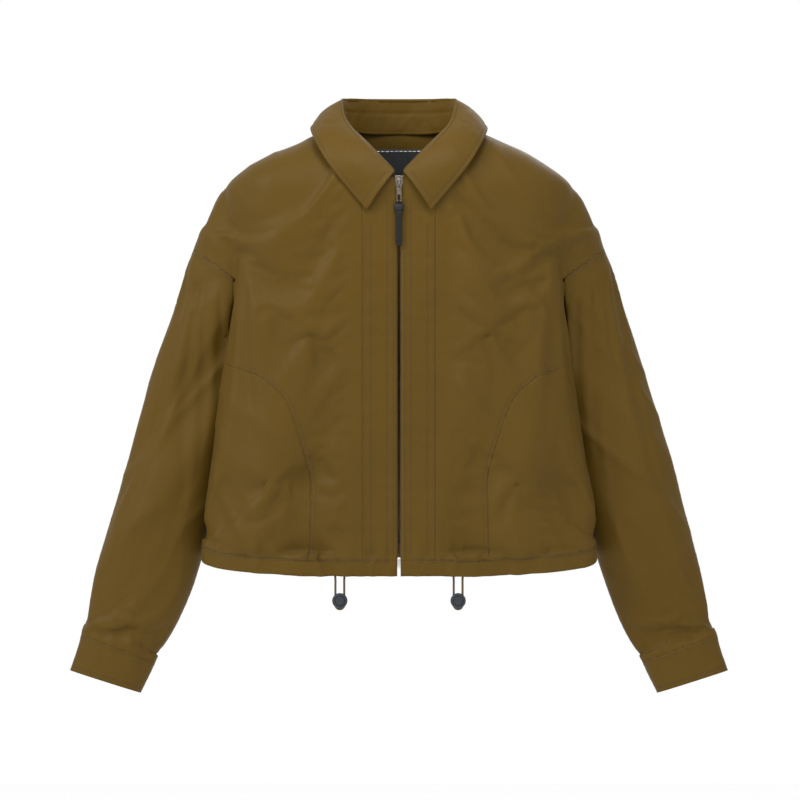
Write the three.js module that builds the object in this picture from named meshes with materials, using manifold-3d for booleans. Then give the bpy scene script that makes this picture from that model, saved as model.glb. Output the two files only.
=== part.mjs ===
// A cropped zip jacket with a shirt collar, dropped shoulders and a corded hem, as it stands when worn.
// Millimetres, +Z up, the front faces -Y. The origin is the centre-back neck point on the collar seam.
import * as THREE from "three";
import { mergeVertices } from "three/addons/utils/BufferGeometryUtils.js";
import Module from "manifold-3d";

const wasm = await Module();
wasm.setup();

// ---- Driving dimensions ----
const wall = 1.6; // thickness of a layer of cloth
const gap = 0.3; // clearance between two pieces that meet
const hollowPast = 40; // how far a hollow runs on past an open end
const far = 700; // beyond everything
const shrug = 1.2; // room between the sleeve and the side of the jacket

const frontY = -150; // the flat front, where the zip lies
const hemSideZ = -547; // hem height at the side
const hemDrop = 22; // how much lower the hem is at the centre front
const channelHeight = 20; // height of the drawcord channel
const armholeTopX = 262; // outer end of the armhole seam
const armholeTopZ = -153;
const armholeTilt = 36; // degrees that the armhole seam falls towards the underarm
const sideSeamY = -60; // side and shoulder seams lie in this plane
const placketWidth = 42;
const placketEdge = 4.4; // half of the slot that shows the zip
const neckHalfWidth = 70;
const neckFrontDepth = sideSeamY - frontY + 1; // from the shoulder seams to the front of the neck hole
const neckFrontZ = -61; // top of the zip
const cuffHeight = 46;

const tapeWidth = 14;
const coilInner = 0.8;
const coilOuter = 3.2;
const coilThick = 2.4;
const coilY = frontY + 2.4; // middle of the zip's thickness
const sliderWidth = 10.9;
const sliderLength = 14;
const plateThick = 1.4;
const pullWidth = 6.4;
const pullThick = 1.2;
const strapBottomZ = -150;
const zipBottomZ = hemSideZ - 12;
const retainerHeight = 12.5;

const cordDiameter = 2.8;
const lockDiameter = 19.5;
const lockThickness = 10;
const lockZ = hemSideZ - hemDrop - 31;
const buttonDiameter = 11;

// ---- Colours ----
const oliveCloth = { color: 0x66501f, roughness: 0.62, metalness: 0 };
const blackCloth = { color: 0x18191a, roughness: 0.75, metalness: 0 };
const oliveCord = { color: 0x4f3d18, roughness: 0.8, metalness: 0 };
const brownPlastic = { color: 0x3c2c16, roughness: 0.5, metalness: 0 };
const slatePlastic = { color: 0x2d3338, roughness: 0.4, metalness: 0 };
const gunmetal = { color: 0x6b655c, roughness: 0.35, metalness: 1 };
const steel = { color: 0xc8c8c4, roughness: 0.3, metalness: 1 };
const blackLeather = { color: 0x242629, roughness: 0.6, metalness: 0 };

// ---- Solids ----
function solid(geometry) {
  const bare = geometry.index ? geometry.toNonIndexed() : geometry.clone();
  bare.deleteAttribute("normal");
  bare.deleteAttribute("uv");
  const merged = mergeVertices(bare, 1e-4);
  return new wasm.Manifold(
    new wasm.Mesh({
      numProp: 3,
      vertProperties: new Float32Array(merged.attributes.position.array),
      triVerts: new Uint32Array(merged.index.array),
    }),
  );
}

function meshOf(name, body, finish) {
  const cut = body.getMesh();
  const geometry = new THREE.BufferGeometry();
  geometry.setAttribute("position", new THREE.BufferAttribute(new Float32Array(cut.vertProperties), 3));
  geometry.setIndex(new THREE.BufferAttribute(new Uint32Array(cut.triVerts), 1));
  const flat = geometry.toNonIndexed();
  flat.computeVertexNormals();
  const mesh = new THREE.Mesh(flat, new THREE.MeshStandardMaterial({ ...finish, flatShading: true }));
  mesh.name = name;
  return mesh;
}

// A closed skin through rings of points, each ring with the same number of points, closed by flat fans.
function skin(rings) {
  const count = rings[0].length;
  const points = rings.flat();
  const faces = [];
  for (let r = 0; r < rings.length - 1; r++) {
    for (let i = 0; i < count; i++) {
      const a = r * count + i;
      const b = r * count + ((i + 1) % count);
      faces.push(a, b, a + count, b, b + count, a + count);
    }
  }
  for (const [ring, first] of [[rings[0], 0], [rings.at(-1), (rings.length - 1) * count]]) {
    const middle = new THREE.Vector3();
    ring.forEach((point) => middle.addScaledVector(point, 1 / count));
    points.push(middle);
    for (let i = 0; i < count; i++) {
      const a = first + i;
      const b = first + ((i + 1) % count);
      faces.push(...(first === 0 ? [b, a, points.length - 1] : [a, b, points.length - 1]));
    }
  }
  const geometry = new THREE.BufferGeometry().setFromPoints(points);
  geometry.setIndex(faces);
  const made = solid(geometry);
  if (made.volume() > 0) return made;
  geometry.index.array.reverse();
  return solid(geometry);
}

function block(x0, x1, y0, y1, z0, z1) {
  const geometry = new THREE.BoxGeometry(x1 - x0, y1 - y0, z1 - z0);
  geometry.translate((x0 + x1) / 2, (y0 + y1) / 2, (z0 + z1) / 2);
  return solid(geometry);
}

// A round bar from one y to another.
function roundBar(x, z, radius, y0, y1, sides = 24) {
  const geometry = new THREE.CylinderGeometry(radius, radius, y1 - y0, sides);
  geometry.translate(x, (y0 + y1) / 2, z);
  return solid(geometry);
}

// A prism whose outline is drawn in the front view and which runs from one y to another.
function frontPrism(outline, y0, y1) {
  const shape = new THREE.Shape(outline.map(([x, z]) => new THREE.Vector2(x, z)));
  const geometry = new THREE.ExtrudeGeometry(shape, { depth: y1 - y0, bevelEnabled: false });
  geometry.rotateX(Math.PI / 2);
  geometry.translate(0, y1, 0);
  return solid(geometry);
}

// A prism whose outline is drawn from above and which runs from one height to another.
function plumbPrism(outline, z0, z1) {
  const shape = new THREE.Shape(outline.map(([x, y]) => new THREE.Vector2(x, y)));
  const geometry = new THREE.ExtrudeGeometry(shape, { depth: z1 - z0, bevelEnabled: false });
  geometry.translate(0, 0, z0);
  return solid(geometry);
}

// A prism whose outline is drawn in the side view, [y, z], and which is centred on x = 0.
function sidePrism(outline, width) {
  const shape = new THREE.Shape(outline.map(([y, z]) => new THREE.Vector2(y, z)));
  const geometry = new THREE.ExtrudeGeometry(shape, { depth: width, bevelEnabled: false });
  geometry.translate(0, 0, -width / 2);
  geometry.rotateZ(Math.PI / 2);
  geometry.rotateY(Math.PI / 2);
  return solid(geometry);
}

function crossBar(y, z, radius, width, sides = 16) {
  const geometry = new THREE.CylinderGeometry(radius, radius, width, sides);
  geometry.rotateZ(Math.PI / 2);
  geometry.translate(0, y, z);
  return solid(geometry);
}

function tubeAlong(points, radius, sides, steps) {
  const curve = new THREE.CatmullRomCurve3(points, false, "centripetal");
  const section = new THREE.Shape();
  for (let i = 0; i < sides; i++) {
    const turn = (i / sides) * 2 * Math.PI;
    const place = [radius * Math.cos(turn), radius * Math.sin(turn)];
    if (i === 0) section.moveTo(...place);
    else section.lineTo(...place);
  }
  section.closePath();
  return solid(new THREE.ExtrudeGeometry(section, { steps, extrudePath: curve, curveSegments: 1 }));
}

// ---- The form of the body ----
// Each level: height, half width, front, back, and the depth at which it is widest.
const depthAhead = 90; // from the shoulder seams to the front, as the curves below are drawn
const forward = (y) => (y < sideSeamY ? sideSeamY + ((y - sideSeamY) * (sideSeamY - frontY)) / depthAhead : y);
const levels = [
  { z: hemSideZ, half: 252, front: frontY, back: 8, wide: -98 },
  { z: 0.876 * hemSideZ, half: 249, front: frontY, back: 12, wide: -98 },
  { z: 0.711 * hemSideZ, half: 236, front: frontY, back: 16, wide: -99 },
  { z: 0.4625 * hemSideZ, half: 215, front: frontY, back: 20, wide: -100 },
  { z: -190, half: 207, front: frontY, back: 21, wide: -96 },
  { z: -149, half: 209, front: frontY, back: 20, wide: -84 },
  { z: -96, half: 226, front: frontY, back: 17, wide: -66 },
  { z: -61, half: 218, front: frontY, back: 12, wide: sideSeamY },
  { z: -32, half: 174, front: forward(-140), back: 6, wide: sideSeamY },
  { z: -14, half: 135, front: forward(-128), back: 2, wide: sideSeamY },
  { z: 0, half: 106, front: forward(-114), back: 0.5, wide: sideSeamY },
  { z: 8, half: 84, front: forward(-102), back: -8, wide: sideSeamY },
  { z: 11, half: 71, front: forward(-92), back: -20, wide: sideSeamY },
];
const bodySides = 44;
const frontFlatness = 2.7;
const backRoundness = 1.9;

function bodyRing(level, inset, lower) {
  const ring = [];
  const half = level.half - inset;
  for (let i = 0; i < bodySides; i++) {
    const turn = (i / bodySides) * 2 * Math.PI;
    const across = Math.cos(turn);
    const deep = Math.sin(turn);
    const power = 2 / (deep < 0 ? frontFlatness : backRoundness);
    const reach = deep < 0 ? level.wide - level.front - inset : level.back - level.wide - inset;
    const x = half * Math.sign(across) * Math.abs(across) ** power;
    const y = level.wide + reach * Math.sign(deep) * Math.abs(deep) ** power;
    const ahead = THREE.MathUtils.clamp((level.wide - y) / (level.wide - level.front), 0, 1);
    ring.push(new THREE.Vector3(x, y, level.z - lower * ahead));
  }
  return ring;
}

// How far each of the lowest levels falls towards the front.
const falls = [hemDrop, hemDrop / 3];

// The body inside its surface by inset. A hollow runs on past the hem by the length given.
function bodyForm(inset, past = 0) {
  const rings = levels.map((level, i) => bodyRing(level, inset, falls[i] ?? 0));
  if (past > 0) {
    rings.unshift(rings[0].map((point) => point.clone().setZ(point.z - past)));
  }
  const top = levels.at(-1).z - inset;
  rings.forEach((ring) => ring.forEach((point) => point.setZ(Math.min(point.z, top))));
  rings.pop();
  rings.push(bodyRing({ ...levels.at(-1), z: top }, inset, 0));
  return skin(rings);
}

// ---- The form of a sleeve ----
// Each station: outer and inner edge in the front view, half its depth, and the depth of its middle.
const stations = [
  { outer: [-184, -58], inner: [-112, -130], deep: 40, middle: -62 },
  { outer: [-226, -72], inner: [-130, -168], deep: 47, middle: -61 },
  { outer: [-247, -108], inner: [-146, -196], deep: 46, middle: -58 },
  { outer: [-262, -153], inner: [-157, -229], deep: 44, middle: -54 },
  { outer: [-288, -216], inner: [-172, -272], deep: 43, middle: -51 },
  { outer: [-312, -284], inner: [-188, -326], deep: 42, middle: -49 },
  { outer: [-352, -420], inner: [-226, -452], deep: 40, middle: -49 },
  { outer: [-390, -556], inner: [-270, -590], deep: 34, middle: -50 },
  { outer: [-406, -645], inner: [-310, -680], deep: 26, middle: -51 },
  { outer: [-420, -690], inner: [-329, -719], deep: 22, middle: -52 },
];
const sleeveSides = 22;

function sleeveRing(station, inset) {
  const [ox, oz] = station.outer;
  const [ix, iz] = station.inner;
  const across = new THREE.Vector3(ix - ox, 0, iz - oz);
  const half = across.length() / 2 - inset;
  across.normalize();
  const middle = new THREE.Vector3((ox + ix) / 2, station.middle, (oz + iz) / 2);
  const ring = [];
  for (let i = 0; i < sleeveSides; i++) {
    const turn = (i / sleeveSides) * 2 * Math.PI;
    ring.push(
      middle
        .clone()
        .addScaledVector(across, half * Math.cos(turn))
        .add(new THREE.Vector3(0, (station.deep - inset) * Math.sin(turn), 0)),
    );
  }
  return ring;
}

function sleeveForm(inset, past = 0) {
  const rings = stations.map((station) => sleeveRing(station, inset));
  if (past > 0) {
    const last = rings.at(-1);
    const before = rings.at(-2);
    rings.push(last.map((point, i) => point.clone().lerp(before[i], -past / cuffHeight)));
  }
  return skin(rings);
}

// Everything beyond a line in the front view: from a point, on the side that the direction points to.
function beyond([x, z], degrees, offset) {
  const reach = 1200;
  const geometry = new THREE.BoxGeometry(2 * reach, 2 * reach, reach);
  geometry.translate(0, 0, -reach / 2 - offset);
  geometry.rotateY(THREE.MathUtils.degToRad(degrees));
  geometry.translate(x, 0, z);
  return solid(geometry);
}

// ---- The shell of the body and its seams ----
const leftSleeve = sleeveForm(0);
const armholeEdge = [-armholeTopX, armholeTopZ];
const cuffSeam = stations.at(-2);
const cuffTilt = THREE.MathUtils.radToDeg(
  Math.atan2(cuffSeam.outer[1] - cuffSeam.inner[1], cuffSeam.inner[0] - cuffSeam.outer[0]),
);

const mirrorX = (body) => body.mirror([1, 0, 0]);
const leftCap = leftSleeve.subtract(beyond(armholeEdge, armholeTilt, 0));
const leftCapHollow = sleeveForm(wall).subtract(beyond(armholeEdge, armholeTilt, hollowPast));
const outerBody = bodyForm(0).add(leftCap).add(mirrorX(leftCap));
const hollowBody = bodyForm(wall, hollowPast).add(leftCapHollow).add(mirrorX(leftCapHollow));

// The neck hole seen from above: half an ellipse behind the shoulder seams and a longer half before them.
function neckOutline(grow) {
  const outline = [];
  const steps = 36;
  for (let i = 0; i < steps; i++) {
    const turn = (i / steps) * 2 * Math.PI;
    const depth = (Math.sin(turn) < 0 ? neckFrontDepth : -sideSeamY) + grow;
    outline.push([(neckHalfWidth + grow) * Math.cos(turn), sideSeamY + depth * Math.sin(turn)]);
  }
  return outline;
}
const neckHole = plumbPrism(neckOutline(0), neckFrontZ, far);

const shell = outerBody.subtract(hollowBody).subtract(neckHole);

// The strip along the hem that holds the drawcord, cut from a form: everything under the channel seam.
function underSeam(lift) {
  const roundEverything = { ...levels[0], half: 330, front: frontY - 70, back: 80 };
  const atHeight = (rise) => bodyRing(roundEverything, 0, hemDrop).map((point) => point.setZ(point.z + rise));
  return skin([atHeight(-60), atHeight(channelHeight + lift)]);
}
const hemZone = underSeam(0);
const aboveHem = shell.subtract(underSeam(gap));
const hemBand = shell.intersect(hemZone);

const backHalf = block(-far, far, sideSeamY + gap / 2, far, -far, far);
const frontHalf = block(-far, far, -far, sideSeamY - gap / 2, -far, far);

// The pocket seam in the front view, from the placket side at the hem up and out to the side.
const pocketSeam = new THREE.CatmullRomCurve3(
  [
    [-116, -700],
    [-114, -520],
    [-112, -462],
    [-115, -434],
    [-124, -402],
    [-143, -349],
    [-165, -325],
    [-187, -312],
    [-260, -292],
    [-420, -270],
  ].map(([x, z]) => new THREE.Vector3(x, 0, z)),
);
function pocketRegion(offset) {
  const outline = pocketSeam.getPoints(14).map((point) => [point.x - offset, point.z - offset]);
  return frontPrism([...outline, [-420, -700]], -far, sideSeamY);
}

const leftHalf = block(-far, 0, -far, far, -far, far);
const placketSlot = block(-placketEdge, placketEdge, -far, sideSeamY, -far, far);
const placketOut = placketEdge + placketWidth;
const placketZone = (grow) => block(-placketOut - grow, placketOut + grow, -far, sideSeamY, -far, far);
const frontShell = aboveHem.intersect(frontHalf).subtract(placketSlot);
const leftFront = frontShell.intersect(leftHalf).subtract(placketZone(gap));

const parts = new THREE.Group();
const put = (name, body, finish) => parts.add(meshOf(name, body, finish));
function putPair(name, leftBody, finish) {
  put("left_" + name, leftBody, finish);
  put("right_" + name, mirrorX(leftBody), finish);
}

put("back_panel", aboveHem.intersect(backHalf), oliveCloth);
putPair("front_panel", leftFront.subtract(pocketRegion(-gap / 2)), oliveCloth);
putPair("pocket_panel", leftFront.intersect(pocketRegion(gap / 2)), oliveCloth);
putPair("placket", frontShell.intersect(leftHalf).intersect(placketZone(0)), oliveCloth);

// Flat bags behind the pocket seams.
const bagOutline = [
  [-100, -520],
  [-100, -340],
  [-130, -300],
  [-205, -290],
  [-205, -520],
];
const bagWall = 1.4;
const bagInset = wall + 1.2;
const bagBackY = -104; // the bags end before the side seams
const layer = (inset, thick) => bodyForm(inset, hollowPast).subtract(bodyForm(inset + thick, 2 * hollowPast));
const frontLayer = layer(bagInset, bagWall).intersect(frontHalf);
putPair("pocket_bag", frontLayer.intersect(frontPrism(bagOutline, -far, bagBackY)), oliveCloth);

// ---- The corded hem ----
const hemFront = hemBand.intersect(frontHalf).subtract(block(-placketEdge, placketEdge, -far, far, -far, far));
put("back_hem_band", hemBand.intersect(backHalf), oliveCloth);
putPair("hem_band", hemFront.intersect(leftHalf), oliveCloth);

const channelRoom = cordDiameter + 2 * gap + 1.2;
const facingInset = wall + channelRoom;
const facingSlot = tapeWidth + 8;
put(
  "hem_facing",
  layer(facingInset, 1.2).intersect(hemZone).intersect(bodyForm(0)).subtract(
    block(-facingSlot, facingSlot, -far, sideSeamY, -far, far),
  ),
  oliveCloth,
);

const cordInset = wall + channelRoom / 2;
const cordHeight = 8; // cord above the hem's edge
const legHalf = 5.6; // from the middle of a loop to each of its legs
const lockX = 75;
const cordEnd = lockX + legHalf + 8; // the cord in the channel stops here, beside the leg that leaves it

// The depth of the front, at the hem, this far from the middle and this far inside the cloth.
function frontDepth(x, inset) {
  const level = levels[0];
  const reach = level.wide - level.front - inset;
  return level.wide - reach * (1 - (x / (level.half - inset)) ** frontFlatness) ** (1 / frontFlatness);
}

// The channel's middle line, from the right end of the cord round the back to its left end.
const channelLine = bodyRing(levels[0], cordInset, hemDrop).map((point) => point.setZ(point.z + cordHeight));
const frontMiddle = Math.round(bodySides * 0.75);
const fromFront = [...channelLine.slice(frontMiddle), ...channelLine.slice(0, frontMiddle)];
const backRoute = fromFront.filter((point) => point.y > levels[0].wide || Math.abs(point.x) > cordEnd + 4);
const hemFrontZ = hemSideZ - hemDrop;
const channelEnd = (sign) =>
  new THREE.Vector3(sign * cordEnd, frontDepth(cordEnd, cordInset), hemFrontZ + cordHeight);
put(
  "hem_drawcord",
  tubeAlong([channelEnd(1), ...backRoute, channelEnd(-1)], cordDiameter / 2, 8, 56),
  oliveCord,
);

// ---- The cord loops and their locks ----
const cordY = frontDepth(lockX + legHalf, cordInset);
const turnZ = lockZ - 5.2; // middle of the loop's round end
const loopSide = (side) => [
  [side * (legHalf + 7.6), hemFrontZ + cordHeight],
  [side * (legHalf + 3.4), hemFrontZ + cordHeight - 1.6],
  [side * (legHalf + 0.7), hemFrontZ + 1.8],
  [side * legHalf, hemFrontZ - 4],
  [side * legHalf, hemFrontZ - 12],
  [side * legHalf, hemFrontZ - 21],
  [side * legHalf, lockZ + 4],
  [side * legHalf, turnZ],
  [side * legHalf * 0.866, turnZ - legHalf * 0.5],
  [side * legHalf * 0.5, turnZ - legHalf * 0.866],
];
const loopRoute = [...loopSide(1), [0, turnZ - legHalf], ...loopSide(-1).reverse()];
const loopPoints = (middle) => loopRoute.map(([x, z]) => new THREE.Vector3(middle + x, cordY, z));

const lockBackY = cordY + cordDiameter / 2 + gap + 1.4;
const lockFrontY = lockBackY - lockThickness;
const press = 2; // travel of the lock's button
const buttonStand = press + 0.8;
const holeHalf = legHalf + cordDiameter / 2 + gap;
for (const [side, sign] of [["left", -1], ["right", 1]]) {
  const x = sign * lockX;
  put(side + "_cord_loop", tubeAlong(loopPoints(x), cordDiameter / 2, 8, 40), oliveCord);
  const cordHole = block(
    x - holeHalf, x + holeHalf,
    cordY - cordDiameter / 2 - gap, cordY + cordDiameter / 2 + gap,
    lockZ - lockDiameter, lockZ + lockDiameter,
  );
  const bore = roundBar(x, lockZ, buttonDiameter / 2 + gap, lockFrontY - 5, cordY - cordDiameter / 2 - gap);
  put(
    side + "_lock_body",
    roundBar(x, lockZ, lockDiameter / 2, lockFrontY, lockBackY, 28).subtract(cordHole).subtract(bore),
    slatePlastic,
  );
  put(
    side + "_lock_button",
    roundBar(x, lockZ, buttonDiameter / 2, lockFrontY - buttonStand, cordY - cordDiameter / 2 - 2 * gap - press),
    slatePlastic,
  );
}

// ---- Sleeves and cuffs ----
const sideRoom = bodyForm(-shrug);
const sideRoomInner = bodyForm(-shrug - wall);
const sleeveOuter = leftSleeve.intersect(beyond(armholeEdge, armholeTilt, gap)).subtract(sideRoom);
const sleeveHollow = sleeveForm(wall, 30).subtract(sideRoomInner);
const sleeveShell = sleeveOuter.subtract(sleeveHollow);
const cuffEdge = cuffSeam.outer;
putPair("sleeve", sleeveShell.subtract(beyond(cuffEdge, cuffTilt, -gap)), oliveCloth);
putPair("cuff", sleeveShell.intersect(beyond(cuffEdge, cuffTilt, 0)), oliveCloth);

// ---- The neck: facing, label and collar ----
const facingDepth = 78;
const backOnly = (z0) => block(-far, far, sideSeamY + 2, far, z0, far);
put(
  "back_neck_facing",
  bodyForm(wall + 0.6, 40)
    .subtract(bodyForm(wall + 0.6 + 1.1, 60))
    .intersect(backOnly(-facingDepth))
    .intersect(block(-105, 105, -far, far, -far, 0))
    .subtract(neckHole),
  oliveCloth,
);
const labelTop = -24;
const labelHeight = 45;
const labelWidth = 100;
put(
  "neck_label",
  bodyForm(wall + 2.2, 40)
    .subtract(bodyForm(wall + 2.9, 60))
    .intersect(block(-labelWidth / 2, labelWidth / 2, -40, far, labelTop - labelHeight, labelTop)),
  blackCloth,
);

// The collar's fold line and its outer edge, from the centre back round the right side to the front.
const collarFold = new THREE.CatmullRomCurve3(
  [
    [0, -4, 38],
    [40, -12, 38],
    [66, -38, 38],
    [75, -64, 34],
    [67, -106, 6],
    [40, -142, -24.5],
    [6, -154.5, -56],
  ].map(([x, y, z]) => new THREE.Vector3(x, forward(y), z)),
);
const collarEdge = new THREE.CatmullRomCurve3(
  [
    [0, 12, -26],
    [52, 7, -25],
    [98, -8, -14],
    [113, -64, 2],
    [107, -124, -14.5],
    [86, -152, -50],
    [41, -157, -105],
  ].map(([x, y, z]) => new THREE.Vector3(x, forward(y), z)),
);
const collarSteps = 16;
// A strip of even thickness between two curves, bowed outwards by the amount given.
function strip(fold, edge, thick, bow, steps = collarSteps) {
  const rings = [];
  for (let i = 0; i <= steps; i++) {
    const a = fold.getPoint(i / steps);
    const c = edge.getPoint(i / steps);
    const b = a.clone().lerp(c, 0.5);
    const along = fold.getTangent(i / steps);
    const out = along.cross(c.clone().sub(a)).normalize();
    b.addScaledVector(out, -bow);
    const face = [a, b, c];
    const back = face.map((point) => point.clone().addScaledVector(out, thick)).reverse();
    rings.push([...face, ...back]);
  }
  return skin(rings);
}
const rightHalf = block(0, far, -far, far, -far, far);
function bothSides(rightBody) {
  const half = rightBody.intersect(rightHalf);
  return half.add(mirrorX(half));
}
put("collar_leaf", bothSides(strip(collarFold, collarEdge, -wall, -4)), oliveCloth);

// The stand rises inside the neck hole and ends just inside the fold.
const collarSeam = new THREE.CatmullRomCurve3(
  [
    [0, -2.5, -6],
    [36, -12, -6],
    [59, -34, -3],
    [66, -62, 2],
    [56, -104, -4],
    [37, -131, -22],
    [7, -146, -53],
  ].map(([x, y, z]) => new THREE.Vector3(x, forward(y), z)),
);
const standTop = new THREE.CatmullRomCurve3(
  collarFold.points.map((point) => {
    const inwards = new THREE.Vector3(0, sideSeamY, point.z).sub(point).setLength(wall + 2 * gap);
    return point.clone().add(inwards).setZ(point.z - 1);
  }),
);
const aroundNeck = bodyForm(-gap).subtract(plumbPrism(neckOutline(-gap), neckFrontZ, far));
put(
  "collar_stand",
  bothSides(strip(standTop, collarSeam, -wall, 0)).subtract(aroundNeck),
  oliveCloth,
);

// ---- The zip ----
const tapeTop = neckFrontZ - 2;
const tapeX = coilOuter + gap;
const retainerTop = zipBottomZ + retainerHeight;
const coilFront = coilY - coilThick / 2;
const coilBack = coilY + coilThick / 2;
const tapeHalf = 0.35;
const stopLength = 5;
const coilTop = tapeTop - stopLength - gap;
putPair(
  "zip_tape",
  block(-tapeX - tapeWidth, -tapeX, coilY - tapeHalf, coilY + tapeHalf, zipBottomZ, tapeTop),
  oliveCloth,
);
putPair("zip_coil", block(-coilOuter, -coilInner, coilFront, coilBack, retainerTop + gap, coilTop), brownPlastic);
putPair("zip_top_stop", block(-coilOuter, -coilInner, coilFront, coilBack, coilTop + gap, tapeTop), steel);

const boxWall = 1;
const boxHalf = 4;
const pinHalf = 1.3;
const boxHollow = block(gap / 2, 2 * pinHalf + 3 * gap / 2, coilFront - gap, coilBack + gap, zipBottomZ + boxWall, 0);
put(
  "zip_retainer_box",
  block(-boxHalf + 0.7, boxHalf - 0.6, coilFront - boxWall, coilBack + boxWall, zipBottomZ, retainerTop).subtract(
    boxHollow,
  ),
  steel,
);
put(
  "zip_insertion_pin",
  block(3 * gap / 2, 2 * pinHalf + gap / 2, coilFront, coilBack, zipBottomZ + boxWall + gap, retainerTop),
  steel,
);

// The slider: two plates joined by a post that runs between the coils.
const sliderTop = neckFrontZ;
const sliderBottom = sliderTop - sliderLength;
const frontPlateY = frontY - 1;
const backPlateY = coilBack + gap;
const sliderHalf = sliderWidth / 2;
const shoulder = 2.2;
const plateOutline = [
  [-sliderHalf + 0.6, sliderTop],
  [sliderHalf - 0.6, sliderTop],
  [sliderHalf, sliderTop - shoulder],
  [sliderHalf - 1.6, sliderBottom],
  [-sliderHalf + 1.6, sliderBottom],
  [-sliderHalf, sliderTop - shoulder],
];
put(
  "zip_slider",
  frontPrism(plateOutline, frontPlateY - plateThick, frontPlateY)
    .add(frontPrism(plateOutline, backPlateY, backPlateY + 1))
    .add(block(-0.5, 0.5, frontPlateY - 0.1, backPlateY + 0.1, sliderTop - 5, sliderTop - 1)),
  gunmetal,
);

// The bail is an arch on the front plate. The pull's cross bar turns under it.
const bailFoot = frontPlateY - plateThick - gap;
const bailRise = 3.2;
const bailThick = 1;
const bailTop = sliderTop - 1.6;
const bailBottom = sliderBottom + 1.6;
put(
  "zip_bail",
  sidePrism(
    [
      [bailFoot, bailTop],
      [bailFoot - bailRise + 0.8, bailTop - 0.8],
      [bailFoot - bailRise, bailTop - 2.4],
      [bailFoot - bailRise, bailBottom + 2.4],
      [bailFoot - bailRise + 0.8, bailBottom + 0.8],
      [bailFoot, bailBottom],
      [bailFoot, bailBottom + bailThick],
      [bailFoot - bailRise + bailThick + 0.3, bailBottom + bailThick + 0.8],
      [bailFoot - bailRise + bailThick, bailBottom + bailThick + 1.4],
      [bailFoot - bailRise + bailThick, bailTop - bailThick - 1.4],
      [bailFoot - bailRise + bailThick + 0.3, bailTop - bailThick - 0.8],
      [bailFoot, bailTop - bailThick],
    ],
    3,
  ),
  gunmetal,
);

const pullY = bailFoot - 0.9; // middle of the pull's thickness, and its hinge
const pullZ = bailTop - 4;
const pullBottom = -94;
const pullHalf = pullWidth / 2;
const armTop = pullZ + 0.8;
const plateTop = bailBottom - 1.2;
const pullFront = pullY - pullThick / 2;
const pullBack = pullY + pullThick / 2;
const barThick = 1.4;
const slotHalf = 1.9;
put(
  "zip_pull_tab",
  block(-pullHalf, pullHalf, pullFront, pullBack, pullBottom, armTop)
    .subtract(block(-slotHalf, slotHalf, pullFront - 1, pullBack + 1, plateTop, armTop + 1))
    .subtract(block(-slotHalf, slotHalf, pullFront - 1, pullBack + 1, pullBottom + barThick, pullBottom + 9))
    .add(crossBar(pullY, pullZ, 0.6, pullWidth - 1)),
  gunmetal,
);

// The leather pull: a loop round the tab's lower bar, a round knob and a flat tail.
const strapZ = pullBottom + barThick / 2; // its hinge
const loopOuter = 2.4;
const loopInner = 1.1;
const loopWidth = 2 * slotHalf - 2 * gap;
const knobTop = pullBottom - 1.4;
const knobSize = { x: 7.4, y: 3.6, z: 5.8 };
const knob = new THREE.SphereGeometry(1, 16, 10);
knob.scale(knobSize.x, knobSize.y, knobSize.z);
knob.translate(0, pullY - 0.4, knobTop - knobSize.z);
put(
  "zip_pull_strap",
  crossBar(pullY, strapZ, loopOuter, loopWidth)
    .add(block(-loopWidth / 2, loopWidth / 2, pullY - 1, pullY + 1, knobTop - 2, strapZ - loopInner))
    .subtract(crossBar(pullY, strapZ, loopInner, loopWidth + 1))
    .add(solid(knob))
    .add(block(-3.6, 3.6, pullY - 1.6, pullY + 0.8, strapBottomZ, knobTop - knobSize.z)),
  blackLeather,
);

export default parts;
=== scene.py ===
"""A cropped zip jacket with a shirt collar: cloth panels, collar, zip, hem cords and cord locks."""

import math

import bmesh
import bpy
import numpy as np
from bpy.props import FloatProperty, FloatVectorProperty, PointerProperty
from mathutils import Matrix, Vector, noise
from mathutils.bvhtree import BVHTree


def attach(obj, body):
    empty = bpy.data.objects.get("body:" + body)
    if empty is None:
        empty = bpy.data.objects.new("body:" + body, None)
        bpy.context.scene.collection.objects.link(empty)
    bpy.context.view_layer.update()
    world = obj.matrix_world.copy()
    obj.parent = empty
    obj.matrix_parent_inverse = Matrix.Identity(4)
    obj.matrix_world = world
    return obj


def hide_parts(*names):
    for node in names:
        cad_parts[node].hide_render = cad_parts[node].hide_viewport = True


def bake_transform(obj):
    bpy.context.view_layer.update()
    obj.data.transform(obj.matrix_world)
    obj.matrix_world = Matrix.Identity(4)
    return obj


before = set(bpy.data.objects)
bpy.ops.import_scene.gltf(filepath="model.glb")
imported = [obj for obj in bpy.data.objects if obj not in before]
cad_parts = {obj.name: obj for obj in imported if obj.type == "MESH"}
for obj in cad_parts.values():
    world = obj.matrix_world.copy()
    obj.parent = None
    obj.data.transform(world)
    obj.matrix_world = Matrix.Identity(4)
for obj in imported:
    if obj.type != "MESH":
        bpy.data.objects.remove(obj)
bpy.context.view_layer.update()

bl_info = {
    "name": "Cropped Zip Jacket",
    "version": (1, 0, 0),
    "blender": (4, 5, 0),
    "location": "View3D > Sidebar > Jacket",
    "description": "Builds a cropped zip jacket with a shirt collar and a corded hem",
    "category": "Object",
}

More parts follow.
